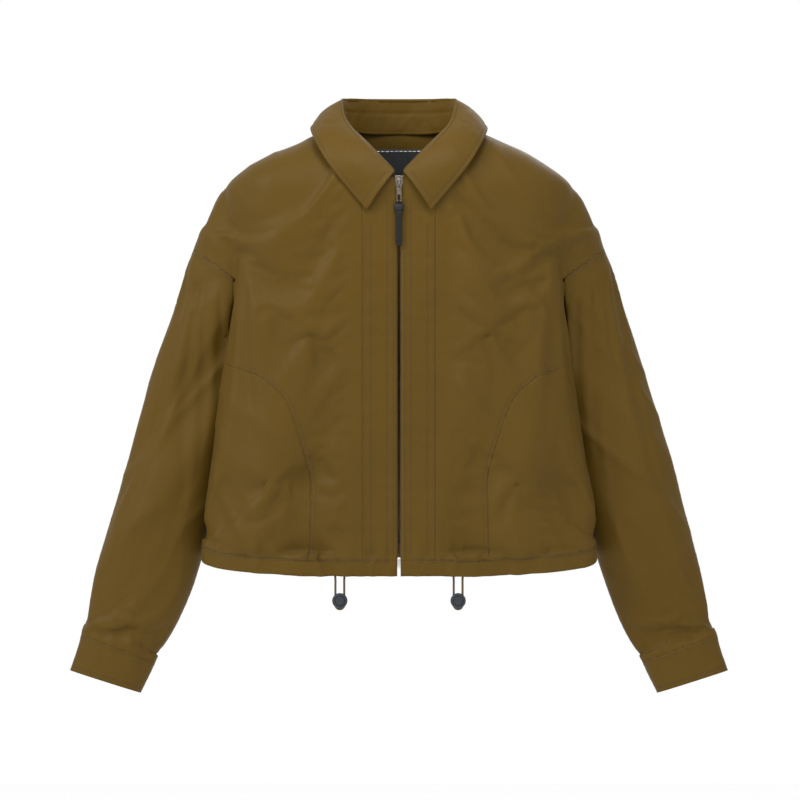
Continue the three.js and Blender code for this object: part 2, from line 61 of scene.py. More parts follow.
# ---- Sizes of the cut, in metres, shared with the frame ----
FRONT_Y = -0.150
SIDE_SEAM_Y = -0.060
HEM_Z = -0.547
HEM_DROP = 0.022
FOLD_Y = -0.098  # the hem starts to fall forward of here
CHANNEL = 0.020
PLACKET_EDGE = 0.0022
PLACKET_OUT = 0.0464
NECK_HALF = 0.070
NECK_FRONT_DEPTH = 0.091
NECK_FRONT_Z = -0.061
ARMHOLE = Vector((0.262, 0.0, -0.153))
ARMHOLE_TILT = math.radians(36)
ARMHOLE_EDGE = (Vector((0.262, 0.0, -0.153)), Vector((0.157, 0.0, -0.229)))
CUFF_SEAM = (Vector((0.406, 0.0, -0.645)), Vector((0.310, 0.0, -0.680)))
CUFF_MOUTH = (Vector((0.420, 0.0, -0.690)), Vector((0.329, 0.0, -0.719)))
CLOTH = 0.0012
TUCK = 0.0030  # the sleeve runs this far under the shoulder
ZIP_Y = FRONT_Y + 0.0024
ZIP_TOP = -0.063
ZIP_LOW = -0.559
COIL_IN = 0.0008
COIL_OUT = 0.0032
COIL_PITCH = 0.0014
CORD = 0.0028
CORD_Y = -0.1452
LOCK_X = 0.075
LOCK_Z = -0.600
POCKET_IN = 0.100
POCKET_OUT = 0.205
POCKET_LOW = -0.520

# Height, half width, front, back and the depth of the widest place, from the hem up.
LEVELS = [
    (-0.620, 0.252, -0.150, 0.008, -0.098),
    (-0.547, 0.252, -0.150, 0.008, -0.098),
    (-0.479, 0.249, -0.150, 0.012, -0.098),
    (-0.389, 0.236, -0.150, 0.016, -0.099),
    (-0.253, 0.215, -0.150, 0.020, -0.100),
    (-0.190, 0.207, -0.150, 0.021, -0.096),
    (-0.149, 0.209, -0.150, 0.020, -0.084),
    (-0.096, 0.226, -0.150, 0.017, -0.066),
    (-0.061, 0.218, -0.150, 0.012, -0.060),
    (-0.032, 0.174, -0.140, 0.006, -0.060),
    (-0.014, 0.135, -0.128, 0.002, -0.060),
    (0.000, 0.106, -0.114, 0.0005, -0.060),
    (0.008, 0.084, -0.102, -0.008, -0.060),
    (0.011, 0.071, -0.092, -0.020, -0.060),
]
FRONT_FLATNESS = 2.7
BACK_ROUNDNESS = 1.9

# Outer edge, inner edge, half depth and middle depth of the sleeve, from inside the shoulder to past
# the cuff.
STATIONS = [
    ((0.184, -0.058), (0.112, -0.130), 0.040, -0.062),
    ((0.226, -0.072), (0.130, -0.168), 0.047, -0.061),
    ((0.247, -0.108), (0.146, -0.196), 0.046, -0.058),
    ((0.262, -0.153), (0.157, -0.229), 0.044, -0.054),
    ((0.288, -0.216), (0.172, -0.272), 0.043, -0.051),
    ((0.312, -0.284), (0.188, -0.326), 0.042, -0.049),
    ((0.352, -0.420), (0.226, -0.452), 0.040, -0.049),
    ((0.390, -0.556), (0.270, -0.590), 0.034, -0.050),
    ((0.406, -0.645), (0.310, -0.680), 0.026, -0.051),
    ((0.420, -0.690), (0.329, -0.719), 0.022, -0.052),
    ((0.431, -0.724), (0.343, -0.749), 0.022, -0.053),
]

# The pocket seam in the front view, from the hem up and out to the side, on the right.
POCKET_SEAM = [
    (0.116, -0.700),
    (0.114, -0.520),
    (0.112, -0.462),
    (0.115, -0.434),
    (0.124, -0.402),
    (0.143, -0.349),
    (0.165, -0.325),
    (0.187, -0.312),
    (0.260, -0.292),
    (0.420, -0.270),
]


# ---- Shader helpers ----
class Sock:
    """A socket or a number that takes part in shader arithmetic."""

    def __init__(self, shade, value):
        self.shade = shade
        self.value = value

    def _math(self, operation, a, b):
        return self.shade.node("ShaderNodeMath", {"operation": operation}, {0: a, 1: b})["Value"]

    def __add__(self, other):
        return self._math("ADD", self, other)

    __radd__ = __add__

    def __mul__(self, other):
        return self._math("MULTIPLY", self, other)

    __rmul__ = __mul__

    def __sub__(self, other):
        return self._math("SUBTRACT", self, other)

    def __rsub__(self, other):
        return self._math("SUBTRACT", other, self)

    def __truediv__(self, other):
        return self._math("DIVIDE", self, other)

    def __rtruediv__(self, other):
        return self._math("DIVIDE", other, self)

    def __pow__(self, other):
        return self._math("POWER", self, other)

    def above(self, edge):
        return self._math("GREATER_THAN", self, edge)


class Shade:
    """One material's node tree."""

    def __init__(self, name):
        self.material = bpy.data.materials.new(name)
        self.material.use_nodes = True
        self.tree = self.material.node_tree
        self.tree.nodes.clear()
        self.coords = self.node("ShaderNodeTexCoord")
        self.out = self.tree.nodes.new("ShaderNodeOutputMaterial")

    def node(self, kind, settings=None, sockets=None):
        made = self.tree.nodes.new(kind)
        for key, value in (settings or {}).items():
            if key == "ramp":
                elements = made.color_ramp.elements
                while len(elements) < len(value):
                    elements.new(0.5)
                for element, (place, color) in zip(elements, value):
                    element.position = place
                    element.color = (*color, 1.0)
            else:
                setattr(made, key, value)
        for key, value in (sockets or {}).items():
            if isinstance(value, Sock):
                value = value.value
            if isinstance(value, bpy.types.NodeSocket):
                self.tree.links.new(value, made.inputs[key])
            else:
                made.inputs[key].default_value = value
        return {s.name: Sock(self, s) for s in made.outputs if s.enabled}

    def noise(self, vector, scale, detail=2.0, rough=0.5):
        sockets = {"Vector": vector, "Scale": scale, "Detail": detail, "Roughness": rough}
        return self.node("ShaderNodeTexNoise", {}, sockets)["Fac"]

    def stretch(self, vector, scale):
        return self.node("ShaderNodeMapping", {}, {"Vector": vector, "Scale": scale})["Vector"]

    def wave(self, vector, scale, direction):
        settings = {"wave_type": "BANDS", "bands_direction": direction, "wave_profile": "SIN"}
        return self.node("ShaderNodeTexWave", settings, {"Vector": vector, "Scale": scale})["Fac"]

    def mix(self, factor, a, b):
        settings = {"data_type": "RGBA"}
        made = self.node("ShaderNodeMix", settings, {0: factor, 6: a, 7: b})
        return made["Result"]

    def bump(self, height, strength, distance, normal=None):
        sockets = {"Height": height, "Strength": strength, "Distance": distance}
        if normal is not None:
            sockets["Normal"] = normal
        return self.node("ShaderNodeBump", {}, sockets)["Normal"]

    def finish(self, sockets):
        made = self.tree.nodes.new("ShaderNodeBsdfPrincipled")
        for key, value in sockets.items():
            if isinstance(value, Sock):
                self.tree.links.new(value.value, made.inputs[key])
            else:
                made.inputs[key].default_value = value
        self.tree.links.new(made.outputs[0], self.out.inputs[0])
        return self.material


def linear(color):
    """The linear values of a colour given as it looks on a screen."""
    return tuple(c / 12.92 if c <= 0.04045 else ((c + 0.055) / 1.055) ** 2.4 for c in color)


def rgba(color, gain=1.0):
    return (*(c * gain for c in linear(color)), 1.0)


def taffeta(settings):
    shade = Shade("olive_taffeta")
    place = shade.coords["Object"]
    broad = shade.noise(place, 9.0, 3.0, 0.55)
    slub = shade.noise(shade.stretch(place, (60.0, 60.0, 900.0)), 1.0, 2.0, 0.6)
    warp = shade.noise(shade.stretch(place, (900.0, 900.0, 60.0)), 1.0, 2.0, 0.6)
    crinkle = shade.noise(place, 70.0, 3.0, 0.55)
    tone = broad * 0.6 + slub * 0.2 + warp * 0.2
    base = tuple(settings.cloth_color)
    color = shade.mix(tone, rgba(base, 0.86), rgba(base, 1.16))
    rough = 0.46 + crinkle * 0.16
    fine = shade.bump(slub + warp, 0.25, 0.0003)
    normal = shade.bump(crinkle, 0.35, 0.0012, fine)
    sockets = {
        "Base Color": color,
        "Roughness": rough,
        "Normal": normal,
        "Specular IOR Level": 0.09,
        "Sheen Weight": 0.03,
        "Sheen Roughness": 0.4,
        "Sheen Tint": (1.0, 0.86, 0.6, 1.0),
    }
    return shade.finish(sockets)


def woven_black(settings):
    shade = Shade("black_label")
    place = shade.coords["Object"]
    across = shade.wave(place, 420.0, "X")
    up = shade.wave(place, 420.0, "Z")
    color = shade.mix(across * up, (0.006, 0.007, 0.008, 1), (0.022, 0.023, 0.025, 1))
    return shade.finish(
        {"Base Color": color, "Roughness": 0.7, "Normal": shade.bump(across + up, 0.5, 0.0002)}
    )


# The default colour is darker than the real thread, which matches the cloth: the extra darkness is painted
# shade of the sunken stitch lines along the seams. The white thread passes its own colour and carries no
# painted shade.
def thread_and_groove_shade(settings, name="thread_and_groove_shade", color=(0.20, 0.145, 0.05), spread=0.2):
    shade = Shade(name)
    fleck = shade.noise(shade.coords["Object"], 900.0)
    shown = shade.mix(fleck, rgba(color, 1 - spread), rgba(color, 1 + spread))
    return shade.finish({"Base Color": shown, "Roughness": 0.6 + fleck * 0.2})


def white_thread(settings):
    return thread_and_groove_shade(settings, "white_thread", (0.93, 0.93, 0.91), 0.08)


def braid(settings):
    shade = Shade("olive_braid")
    uv = shade.coords["UV"]
    one = shade.wave(shade.stretch(uv, (6.0, 90.0, 1.0)), 1.0, "DIAGONAL")
    other = shade.wave(shade.stretch(uv, (-6.0, 90.0, 1.0)), 1.0, "DIAGONAL")
    weave = one * other
    color = shade.mix(weave, (0.045, 0.026, 0.007, 1), (0.125, 0.078, 0.02, 1))
    return shade.finish({"Base Color": color, "Roughness": 0.75, "Normal": shade.bump(weave, 0.6, 0.0003)})


def coil_plastic(settings):
    shade = Shade("coil_plastic")
    mottle = shade.noise(shade.coords["Object"], 300.0)
    color = shade.mix(mottle, (0.030, 0.018, 0.008, 1), (0.055, 0.034, 0.015, 1))
    return shade.finish({"Base Color": color, "Roughness": 0.38 + mottle * 0.15})


def slate(settings):
    shade = Shade("slate_plastic")
    grain = shade.noise(shade.coords["Object"], 1400.0, 2.0)
    scuff = shade.noise(shade.coords["Object"], 120.0, 3.0)
    color = shade.mix(scuff, (0.010, 0.013, 0.016, 1), (0.021, 0.026, 0.031, 1))
    return shade.finish(
        {
            "Base Color": color,
            "Specular IOR Level": 0.3,
            "Roughness": 0.36 + scuff * 0.2,
            "Normal": shade.bump(grain, 0.25, 0.0001),
        }
    )


def metal(name, dark, light, rough):
    shade = Shade(name)
    place = shade.coords["Object"]
    cloud = shade.noise(place, 260.0, 3.0)
    brushed = shade.noise(shade.stretch(place, (3000.0, 3000.0, 120.0)), 1.0, 2.0)
    color = shade.mix(cloud, dark, light)
    return shade.finish(
        {
            "Base Color": color,
            "Metallic": 1.0,
            "Roughness": rough + cloud * 0.16,
            "Normal": shade.bump(brushed, 0.15, 0.0001),
        }
    )


def gunmetal(settings):
    return metal("gunmetal", (0.10, 0.085, 0.07, 1), (0.24, 0.21, 0.18, 1), 0.22)


def bright_steel(settings):
    return metal("bright_steel", (0.42, 0.42, 0.41, 1), (0.62, 0.62, 0.61, 1), 0.2)


def leather(settings):
    shade = Shade("black_leather")
    place = shade.coords["Object"]
    cells = shade.node("ShaderNodeTexVoronoi", {"feature": "F1"}, {"Vector": place, "Scale": 900.0})
    pebble = cells["Distance"]
    wear = shade.noise(place, 160.0, 3.0)
    color = shade.mix(wear, (0.003, 0.0035, 0.004, 1), (0.009, 0.010, 0.011, 1))
    return shade.finish(
        {
            "Base Color": color,
            "Specular IOR Level": 0.25,
            "Roughness": 0.5 + wear * 0.25,
            "Normal": shade.bump(pebble, 0.5, 0.0002),
        }
    )


# ---- Cloth forms ----
def smooth_rows(table, heights):
    """Rows of the table at the heights given, on a smooth curve through its rows."""
    table = np.array(table, float)
    z = table[:, 0]
    values = table[:, 1:]
    slopes = np.gradient(values, z, axis=0)
    which = np.clip(np.searchsorted(z, heights, side="right") - 1, 0, len(z) - 2)
    span = (z[which + 1] - z[which])[:, None]
    t = ((heights - z[which])[:, None]) / span
    h00 = 2 * t**3 - 3 * t**2 + 1
    h10 = t**3 - 2 * t**2 + t
    h01 = -2 * t**3 + 3 * t**2
    h11 = t**3 - t**2
    lower = h00 * values[which] + h10 * span * slopes[which]
    upper = h01 * values[which + 1] + h11 * span * slopes[which + 1]
    return lower + upper


def powered(value, power):
    return np.sign(value) * np.abs(value) ** power


def face_outwards(mesh):
    made = bmesh.new()
    made.from_mesh(mesh)
    bmesh.ops.recalc_face_normals(made, faces=made.faces)
    made.to_mesh(mesh)
    made.free()


def mesh_of_rings(name, rings):
    """A closed skin through rings of points, with a middle point at each end."""
    count = rings.shape[1]
    points = rings.reshape(-1, 3).tolist()
    faces = []
    for r in range(len(rings) - 1):
        for i in range(count):
            j = (i + 1) % count
            faces.append((r * count + i, r * count + j, (r + 1) * count + j, (r + 1) * count + i))
    for ring, start in ((rings[0], 0), (rings[-1], (len(rings) - 1) * count)):
        points.append(ring.mean(axis=0).tolist())
        for i in range(count):
            j = (i + 1) % count
            faces.append((start + i, start + j, len(points) - 1))
    mesh = bpy.data.meshes.new(name)
    mesh.from_pydata(points, [], faces)
    face_outwards(mesh)
    return mesh


def body_mesh(grow, sides=200, rows=110):
    """The body's closed form, this much larger all round."""
    heights = np.concatenate([np.linspace(LEVELS[0][0], -0.10, rows), np.linspace(-0.095, LEVELS[-1][0], 44)])
    table = smooth_rows(LEVELS, heights)
    turn = np.linspace(0, 2 * math.pi, sides, endpoint=False)
    across = np.cos(turn)
    deep = np.sin(turn)
    power = np.where(deep < 0, 2 / FRONT_FLATNESS, 2 / BACK_ROUNDNESS)
    rings = []
    for z, (half, front, back, wide) in zip(heights, table):
        reach = np.where(deep < 0, wide - front + grow, back - wide + grow)
        x = (half + grow) * powered(across, power)
        y = wide + reach * powered(deep, power)
        rings.append(np.stack([x, y, np.full(sides, z)], axis=1))
    return mesh_of_rings("body_form", np.array(rings))


def sleeve_mesh(side, first=0, sides=96, rows=150):
    """One sleeve's closed form, from the first of its stations that is wanted."""
    table = [(i, *outer, *inner, deep, middle) for i, (outer, inner, deep, middle) in enumerate(STATIONS)]
    spots = np.linspace(first, len(STATIONS) - 1, rows)
    values = smooth_rows(table, spots)
    turn = np.linspace(0, 2 * math.pi, sides, endpoint=False)
    rings = []
    for ox, oz, ix, iz, deep, middle in values:
        centre = np.array([(ox + ix) / 2, middle, (oz + iz) / 2])
        across = np.array([ix - ox, 0, iz - oz])
        half = np.linalg.norm(across) / 2
        across = across / np.linalg.norm(across)
        ring = centre + np.outer(np.cos(turn) * half, across) + np.outer(np.sin(turn) * deep, [0, 1, 0])
        rings.append(ring * np.array([side, 1, 1]))
    return mesh_of_rings("sleeve_form", np.array(rings))


def add_object(name, mesh):
    made = bpy.data.objects.new(name, mesh)
    bpy.context.scene.collection.objects.link(made)
    return made


def only(obj):
    bpy.ops.object.select_all(action="DESELECT")
    obj.select_set(True)
    bpy.context.view_layer.objects.active = obj


def apply_modifier(obj, kind, settings):
    only(obj)
    modifier = obj.modifiers.new(kind.lower(), kind)
    for key, value in settings.items():
        setattr(modifier, key, value)
    bpy.ops.object.modifier_apply(modifier=modifier.name)


def combine(obj, other, operation):
    apply_modifier(obj, "BOOLEAN", {"operation": operation, "object": other, "solver": "EXACT"})


def remove(obj):
    mesh = obj.data
    bpy.data.objects.remove(obj)
    bpy.data.meshes.remove(mesh)


def remesh(obj, voxel):
    only(obj)
    obj.data.remesh_voxel_size = voxel
    obj.data.remesh_voxel_adaptivity = 0.0
    bpy.ops.object.voxel_remesh()


def beyond_block(point, tilt, offset):
    """A block that fills everything beyond a slanted line in the front view."""
    bpy.ops.mesh.primitive_cube_add(size=1.0)
    made = bpy.context.object
    made.scale = (2.4, 2.4, 1.2)
    made.location = (0, 0, -0.6 - offset)
    bpy.ops.object.transform_apply(location=True, rotation=False, scale=True)
    made.data.transform(Matrix.Rotation(tilt, 4, "Y"))
    made.data.transform(Matrix.Translation(point))
    return made


def coordinates(mesh):
    flat = np.empty(len(mesh.vertices) * 3)
    mesh.vertices.foreach_get("co", flat)
    return flat.reshape(-1, 3)


def set_coordinates(mesh, points):
    mesh.vertices.foreach_set("co", points.ravel())
    mesh.update()


def armhole_distance(points, side):
    """How far past the armhole seam each point lies, along the sleeve."""
    normal = np.array([side * math.sin(ARMHOLE_TILT), 0, -math.cos(ARMHOLE_TILT)])
    return (points - np.array([side * ARMHOLE.x, 0, ARMHOLE.z])) @ normal


def edge_distance(points, side, edge):
    """How far past a slanted edge, given by its outer and inner end, each point lies."""
    outer, inner = edge
    along = np.array([inner.x - outer.x, 0, inner.z - outer.z])
    normal = np.array([-along[2], 0, along[0]])
    normal = normal / np.linalg.norm(normal) * np.array([side, 1, 1])
    return (points - np.array([side * outer.x, 0, outer.z])) @ normal


# ---- Cuts along seams ----
def cut(bm, field, keep=None):
    """Adds edges where the field is zero. keep says which faces are cut."""
    store = bm.verts.layers.float_vector.new("place")
    bm.verts.ensure_lookup_table()
    points = np.array([v.co[:] for v in bm.verts])
    values = field(points)
    for v, value in zip(bm.verts, values):
        v[store] = v.co
        v.co = (value, v.co.y, v.co.z)
    middles = {f: sum((v[store] for v in f.verts), Vector()) / len(f.verts) for f in bm.faces}
    faces = [f for f, middle in middles.items() if keep is None or keep(middle)]
    edges = {e for f in faces for e in f.edges}
    verts = {v for f in faces for v in f.verts}
    geom = [*verts, *edges, *faces]
    bmesh.ops.bisect_plane(bm, geom=geom, dist=1e-7, plane_co=(0, 0, 0), plane_no=(1, 0, 0))
    for v in bm.verts:
        v.co = v[store]
    bm.verts.layers.float_vector.remove(store)


def drop_faces(bm, field, keep=None):
    """Deletes the faces whose middle has a positive field."""
    faces = list(bm.faces)
    middles = np.array([f.calc_center_median()[:] for f in faces])
    values = field(middles)
    gone = [f for f, v, m in zip(faces, values, middles) if v > 0 and (keep is None or keep(Vector(m)))]
    bmesh.ops.delete(bm, geom=gone, context="FACES")


def hem_height(points):
    """Height above the hem's edge, which falls towards the front."""
    forward = np.clip((FOLD_Y - points[:, 1]) / (FOLD_Y - FRONT_Y), 0, 1.3)
    return points[:, 2] - HEM_Z + HEM_DROP * forward


def body_excess(points):
    """How far outside the body's form each point lies, about, in metres."""
    heights = np.clip(points[:, 2], LEVELS[0][0], LEVELS[-1][0])
    half, front, back, wide = smooth_rows(LEVELS, heights).T
    deep = points[:, 1] - wide
    reach = np.where(deep < 0, wide - front, back - wide)
    power = np.where(deep < 0, FRONT_FLATNESS, BACK_ROUNDNESS)
    ratio = np.abs(points[:, 0] / half) ** power + np.abs(deep / reach) ** power
    return (ratio ** (1 / power) - 1) * np.minimum(half, reach * 2)


def neck_inside(points):
    """Positive inside the neck hole, seen from above and over its lowest point."""
    y = points[:, 1] - SIDE_SEAM_Y
    depth = np.where(y < 0, NECK_FRONT_DEPTH, -SIDE_SEAM_Y)
    inside = (1 - np.sqrt((points[:, 0] / NECK_HALF) ** 2 + (y / depth) ** 2)) * NECK_HALF
    return np.minimum(inside, points[:, 2] - NECK_FRONT_Z)


def pocket_curve(side, steps=60):
    points = np.array(POCKET_SEAM)
    spots = np.arange(len(points), dtype=float)
    table = np.column_stack([spots, points])
    places = smooth_rows(table, np.linspace(0, len(points) - 1, steps))
    return places * np.array([side, 1])


def pocket_field(side):
    """Signed distance from the pocket seam in the front view: negative on the side panel."""
    line = pocket_curve(side)

    def field(points):
        spots = points[:, [0, 2]]
        best = np.full(len(spots), 1e9)
        sign = np.ones(len(spots))
        for a, b in zip(line[:-1], line[1:]):
            along = b - a
            t = np.clip(((spots - a) @ along) / (along @ along), 0, 1)
            away = spots - (a + t[:, None] * along)
            distance = np.linalg.norm(away, axis=1)
            turn = along[0] * away[:, 1] - along[1] * away[:, 0]
            closer = distance < best
            best = np.where(closer, distance, best)
            sign = np.where(closer, np.sign(turn), sign)
        return best * sign * side

    return field


def bm_of(obj):
    made = bmesh.new()
    made.from_mesh(obj.data)
    return made


def part_of(bm, name, wanted):
    """A new object from the faces whose label is wanted."""
    copy = bm.copy()
    label = copy.faces.layers.int["label"]
    bmesh.ops.delete(copy, geom=[f for f in copy.faces if f[label] != wanted], context="FACES")
    mesh = bpy.data.meshes.new(name)
    copy.faces.layers.int.remove(label)
    copy.to_mesh(mesh)
    copy.free()
    return add_object(name, mesh)


def as_cloth(obj, finish, body, nodes, flat, held="hung", thickness=CLOTH, offset=-1.0):
    """Makes a sheet a cloth piece: its thickness, material, body and the solids it replaces. The flat cut is
    not used.
    """
    mesh = obj.data
    area = sum(face.area for face in mesh.polygons)
    dress(obj, finish)
    apply_modifier(obj, "SOLIDIFY", {"thickness": thickness, "offset": offset, "use_even_offset": False})
    mesh.shade_smooth()
    if body:
        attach(obj, body)
    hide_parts(*nodes)
    min(area, flat[0] * flat[1])
    return obj


SURFACES = {}


def keep_surface(name, obj):
    """Keeps the settled surface of a form, so that stitches and inner layers can follow it."""
    bm = bm_of(obj)
    SURFACES[name] = BVHTree.FromBMesh(bm)
    bm.free()


def near_surface(surface, points):
    """The nearest points of the settled surface, each with its outward direction."""
    line = []
    for point in points:
        spot, normal, _, _ = SURFACES[surface].find_nearest(Vector(point))
        line.append((spot, normal))
    return line


def follow(surface, points, inset):
    """The points moved to the settled surface, and then this far inside it."""
    return [spot - normal * inset for spot, normal in near_surface(surface, points)]


def inside_body(x, z, inset, from_front):
    """The point of the body straight in from its front or back at x and z, and then this far inside."""
    way = 1 if from_front else -1
    spot, normal, _, _ = SURFACES["body"].ray_cast(Vector((x, -way, z)), Vector((0, way, 0)))
    if spot is None:
        spot, normal = near_surface("body", [(x, FRONT_Y if from_front else 0, z)])[0]
    return spot - normal * inset


# ---- Simulation ----
def let_settle(obj, pinned, frames, growth, pressure, limit, bend=0.6, tension=18.0):
    """Lets the cloth grow a little and settle, held where pinned is 1, and no point moves past the limit."""
    start = coordinates(obj.data).copy()
    group = obj.vertex_groups.new(name="held")
    levels = np.round(np.clip(pinned, 0, 1), 2)
    for level in np.unique(levels):
        if level > 0:
            group.add(np.nonzero(levels == level)[0].tolist(), float(level), "REPLACE")
    only(obj)
    cloth = obj.modifiers.new("cloth", "CLOTH")
    cloth.settings.quality = 5
    cloth.settings.mass = 0.12
    cloth.settings.tension_stiffness = tension
    cloth.settings.compression_stiffness = tension
    cloth.settings.shear_stiffness = tension * 0.4
    cloth.settings.bending_stiffness = bend
    cloth.settings.air_damping = 2.0
    cloth.settings.vertex_group_mass = group.name
    cloth.settings.pin_stiffness = 1.0
    cloth.settings.shrink_min = -growth
    cloth.settings.use_pressure = pressure > 0
    cloth.settings.uniform_pressure_force = pressure
    cloth.settings.effector_weights.gravity = 0.25
    cloth.collision_settings.use_collision = False
    cloth.collision_settings.use_self_collision = False
    cloth.point_cache.frame_start = 1
    cloth.point_cache.frame_end = frames
    scene = bpy.context.scene
    for number in range(1, frames + 1):
        scene.frame_set(number)
    bpy.ops.object.modifier_apply(modifier=cloth.name)
    scene.frame_set(1)
    moved = coordinates(obj.data) - start
    length = np.linalg.norm(moved, axis=1, keepdims=True)
    capped = moved * (limit * np.tanh(length / limit) / np.maximum(length, 1e-9))
    set_coordinates(obj.data, start + capped * (1 - levels[:, None]))
    obj.vertex_groups.clear()


# ---- Creases ----
def wavy(points, scale, shift):
    """Smooth noise at each point, from -1 to 1, stretched by the scale along each axis."""
    spots = points * np.array(scale) + shift
    return np.array([noise.noise(Vector(spot)) for spot in spots])


def ridged(points, scale, shift, warp=0.35):
    """Sharp-topped creases from noise that is bent by more noise."""
    bend = wavy(points, [v * 0.5 for v in scale], shift + 11.3)
    spots = points * np.array(scale) + shift + (bend * warp)[:, None]
    values = np.array([noise.noise(Vector(spot)) for spot in spots])
    return (1 - np.minimum(np.abs(values) * 2.6, 1)) ** 2


def normals_of(mesh):
    flat = np.empty(len(mesh.vertices) * 3)
    mesh.vertices.foreach_get("normal", flat)
    return flat.reshape(-1, 3)


def push(obj, amount, sideways=1.0):
    """Moves each point of the mesh along its normal, less where the surface faces sideways."""
    points = coordinates(obj.data).copy()
    normals = normals_of(obj.data)
    facing = sideways + (1 - sideways) * np.abs(normals[:, 1])
    set_coordinates(obj.data, points + normals * (amount * facing)[:, None])


def bell(distance, width):
    return np.exp(-((distance / width) ** 2))


def body_creases(points, held):
    """Broad folds that fall from the shoulders and grow to the hem, and small puckers along the seams."""
    x, y, z = points.T
    low = np.clip((-0.12 - z) / 0.42, 0, 1)
    free = 1 - np.clip(held, 0, 1)
    broad = np.sin(x * 58 + 1.7 * np.sin(z * 9 + 0.6) + np.sign(y - SIDE_SEAM_Y) * 2.1)
    folds = broad * (0.0008 + 0.0030 * low) + wavy(points, (15, 9, 4.2), 3.7) * 0.0085
    slant = points @ np.array([[1, 0, 0], [0, 1, 0], [0.55, 0, 1]])
    creased = ridged(slant, (17, 8, 5.0), 7.1) * 0.0034
    puckers = np.zeros(len(points))
    beat = wavy(points, (26, 10, 95), 1.3)
    for edge in (PLACKET_EDGE + 0.008, PLACKET_OUT - 0.008):
        at_front = np.where(y < SIDE_SEAM_Y, 1, 0)
        puckers = puckers + bell(np.abs(x) - edge, 0.010) * beat * 0.0011 * at_front
    for side in (-1, 1):
        seam = armhole_distance(points, side) * np.where(x * side > 0.17, 1, 99)
        puckers = puckers + bell(seam + 0.006, 0.014) * wavy(points, (60, 60, 60), 5.9) * 0.0010
    rise = hem_height(points)
    gathers = wavy(points, (85, 40, 12), 9.2) * bell(rise - CHANNEL, 0.026)
    exits = bell(np.abs(x) - LOCK_X, 0.035) * np.where(y < SIDE_SEAM_Y, 1, 0)
    puckers = puckers + gathers * (0.0019 + 0.0030 * exits)
    return folds * free + (creased - 0.0012) * free + puckers * 1.5


def arm_creases(points, side, held):
    """Slanting folds that run down the sleeve, small ones at the elbow and puckers over the cuff."""
    free = 1 - np.clip(held, 0, 1)
    turned = points * np.array([side, 1, 1])
    slant = turned @ np.array([[1, 0, 0.2], [0, 1, 0], [0.75, 0, 1]])
    broad = wavy(slant, (15, 11, 4.0), 2.2 + side) * 0.0085
    elbow = bell(turned[:, 2] + 0.40, 0.10)
    creased = ridged(slant, (19, 9, 6.5), 4.4 + side) * (0.0024 + 0.0026 * elbow)
    over = -edge_distance(points, side, CUFF_SEAM)
    puckers = wavy(points, (70, 70, 16), 6.6) * bell(over - 0.004, 0.030) * 0.0020
    cap = wavy(points, (55, 55, 55), 8.1) * bell(armhole_distance(points, side) - 0.006, 0.016) * 0.0011
    return (broad + creased - 0.0014) * free + (puckers + cap) * 1.4


# ---- Sizes and colours that can be changed ----
class JacketSettings(bpy.types.PropertyGroup):
    cloth_color: FloatVectorProperty(
        name="Cloth",
        description="Colour of the taffeta",
        default=(0.285, 0.211, 0.048),
        subtype="COLOR",
        size=3,
    )
    voxel: FloatProperty(
        name="Mesh size", description="Size of the cloth's faces", default=0.0042, unit="LENGTH"
    )
    ease: FloatProperty(
        name="Ease", description="How much spare cloth the panels have", default=0.03, subtype="FACTOR"
    )


FINISHES = {
    "taffeta": taffeta,
    "label": woven_black,
    "thread_and_groove_shade": thread_and_groove_shade,
    "white_thread": white_thread,
    "braid": braid,
    "coil": coil_plastic,
    "slate": slate,
    "gunmetal": gunmetal,
    "steel": bright_steel,
    "leather": leather,
}
MATERIALS = {}


def material(name):
    if name not in MATERIALS:
        MATERIALS[name] = FINISHES[name](bpy.context.scene.jacket)
    return MATERIALS[name]


def dress(obj, name):
    obj.data.materials.clear()
    obj.data.materials.append(material(name))


# ---- Strips of cloth along curves ----
def curve_through(points, count):
    """Points spread evenly along a smooth curve through those given."""
    table = np.column_stack([np.arange(len(points)), np.array(points, float)])
    fine = smooth_rows(table, np.linspace(0, len(points) - 1, 40 * len(points)))
    steps = np.linalg.norm(np.diff(fine, axis=0), axis=1)
    along = np.concatenate([[0], np.cumsum(steps)])
    spots = np.linspace(0, along[-1], count)
    return np.column_stack([np.interp(spots, along, fine[:, i]) for i in range(3)])


def matched_curve(points, count):
    """Points at even steps of the control points, so that two curves stay matched."""
    table = np.column_stack([np.arange(len(points)), np.array(points, float)])
    return smooth_rows(table, np.linspace(0, len(points) - 1, count))


def grid_object(name, rows):
    """A sheet from rows of points."""
    rows = np.array(rows)
    down, across = rows.shape[:2]
    faces = [
        (r * across + i, r * across + i + 1, (r + 1) * across + i + 1, (r + 1) * across + i)
        for r in range(down - 1)
        for i in range(across - 1)
    ]
    mesh = bpy.data.meshes.new(name)
    mesh.from_pydata(rows.reshape(-1, 3).tolist(), [], faces)
    return add_object(name, mesh)


def both_ways(points):
    """The curve on the right, from the centre back, joined to its mirror image on the left."""
    points = np.array(points, float)
    left = points[:0:-1] * np.array([-1, 1, 1])
    return np.concatenate([left, points])


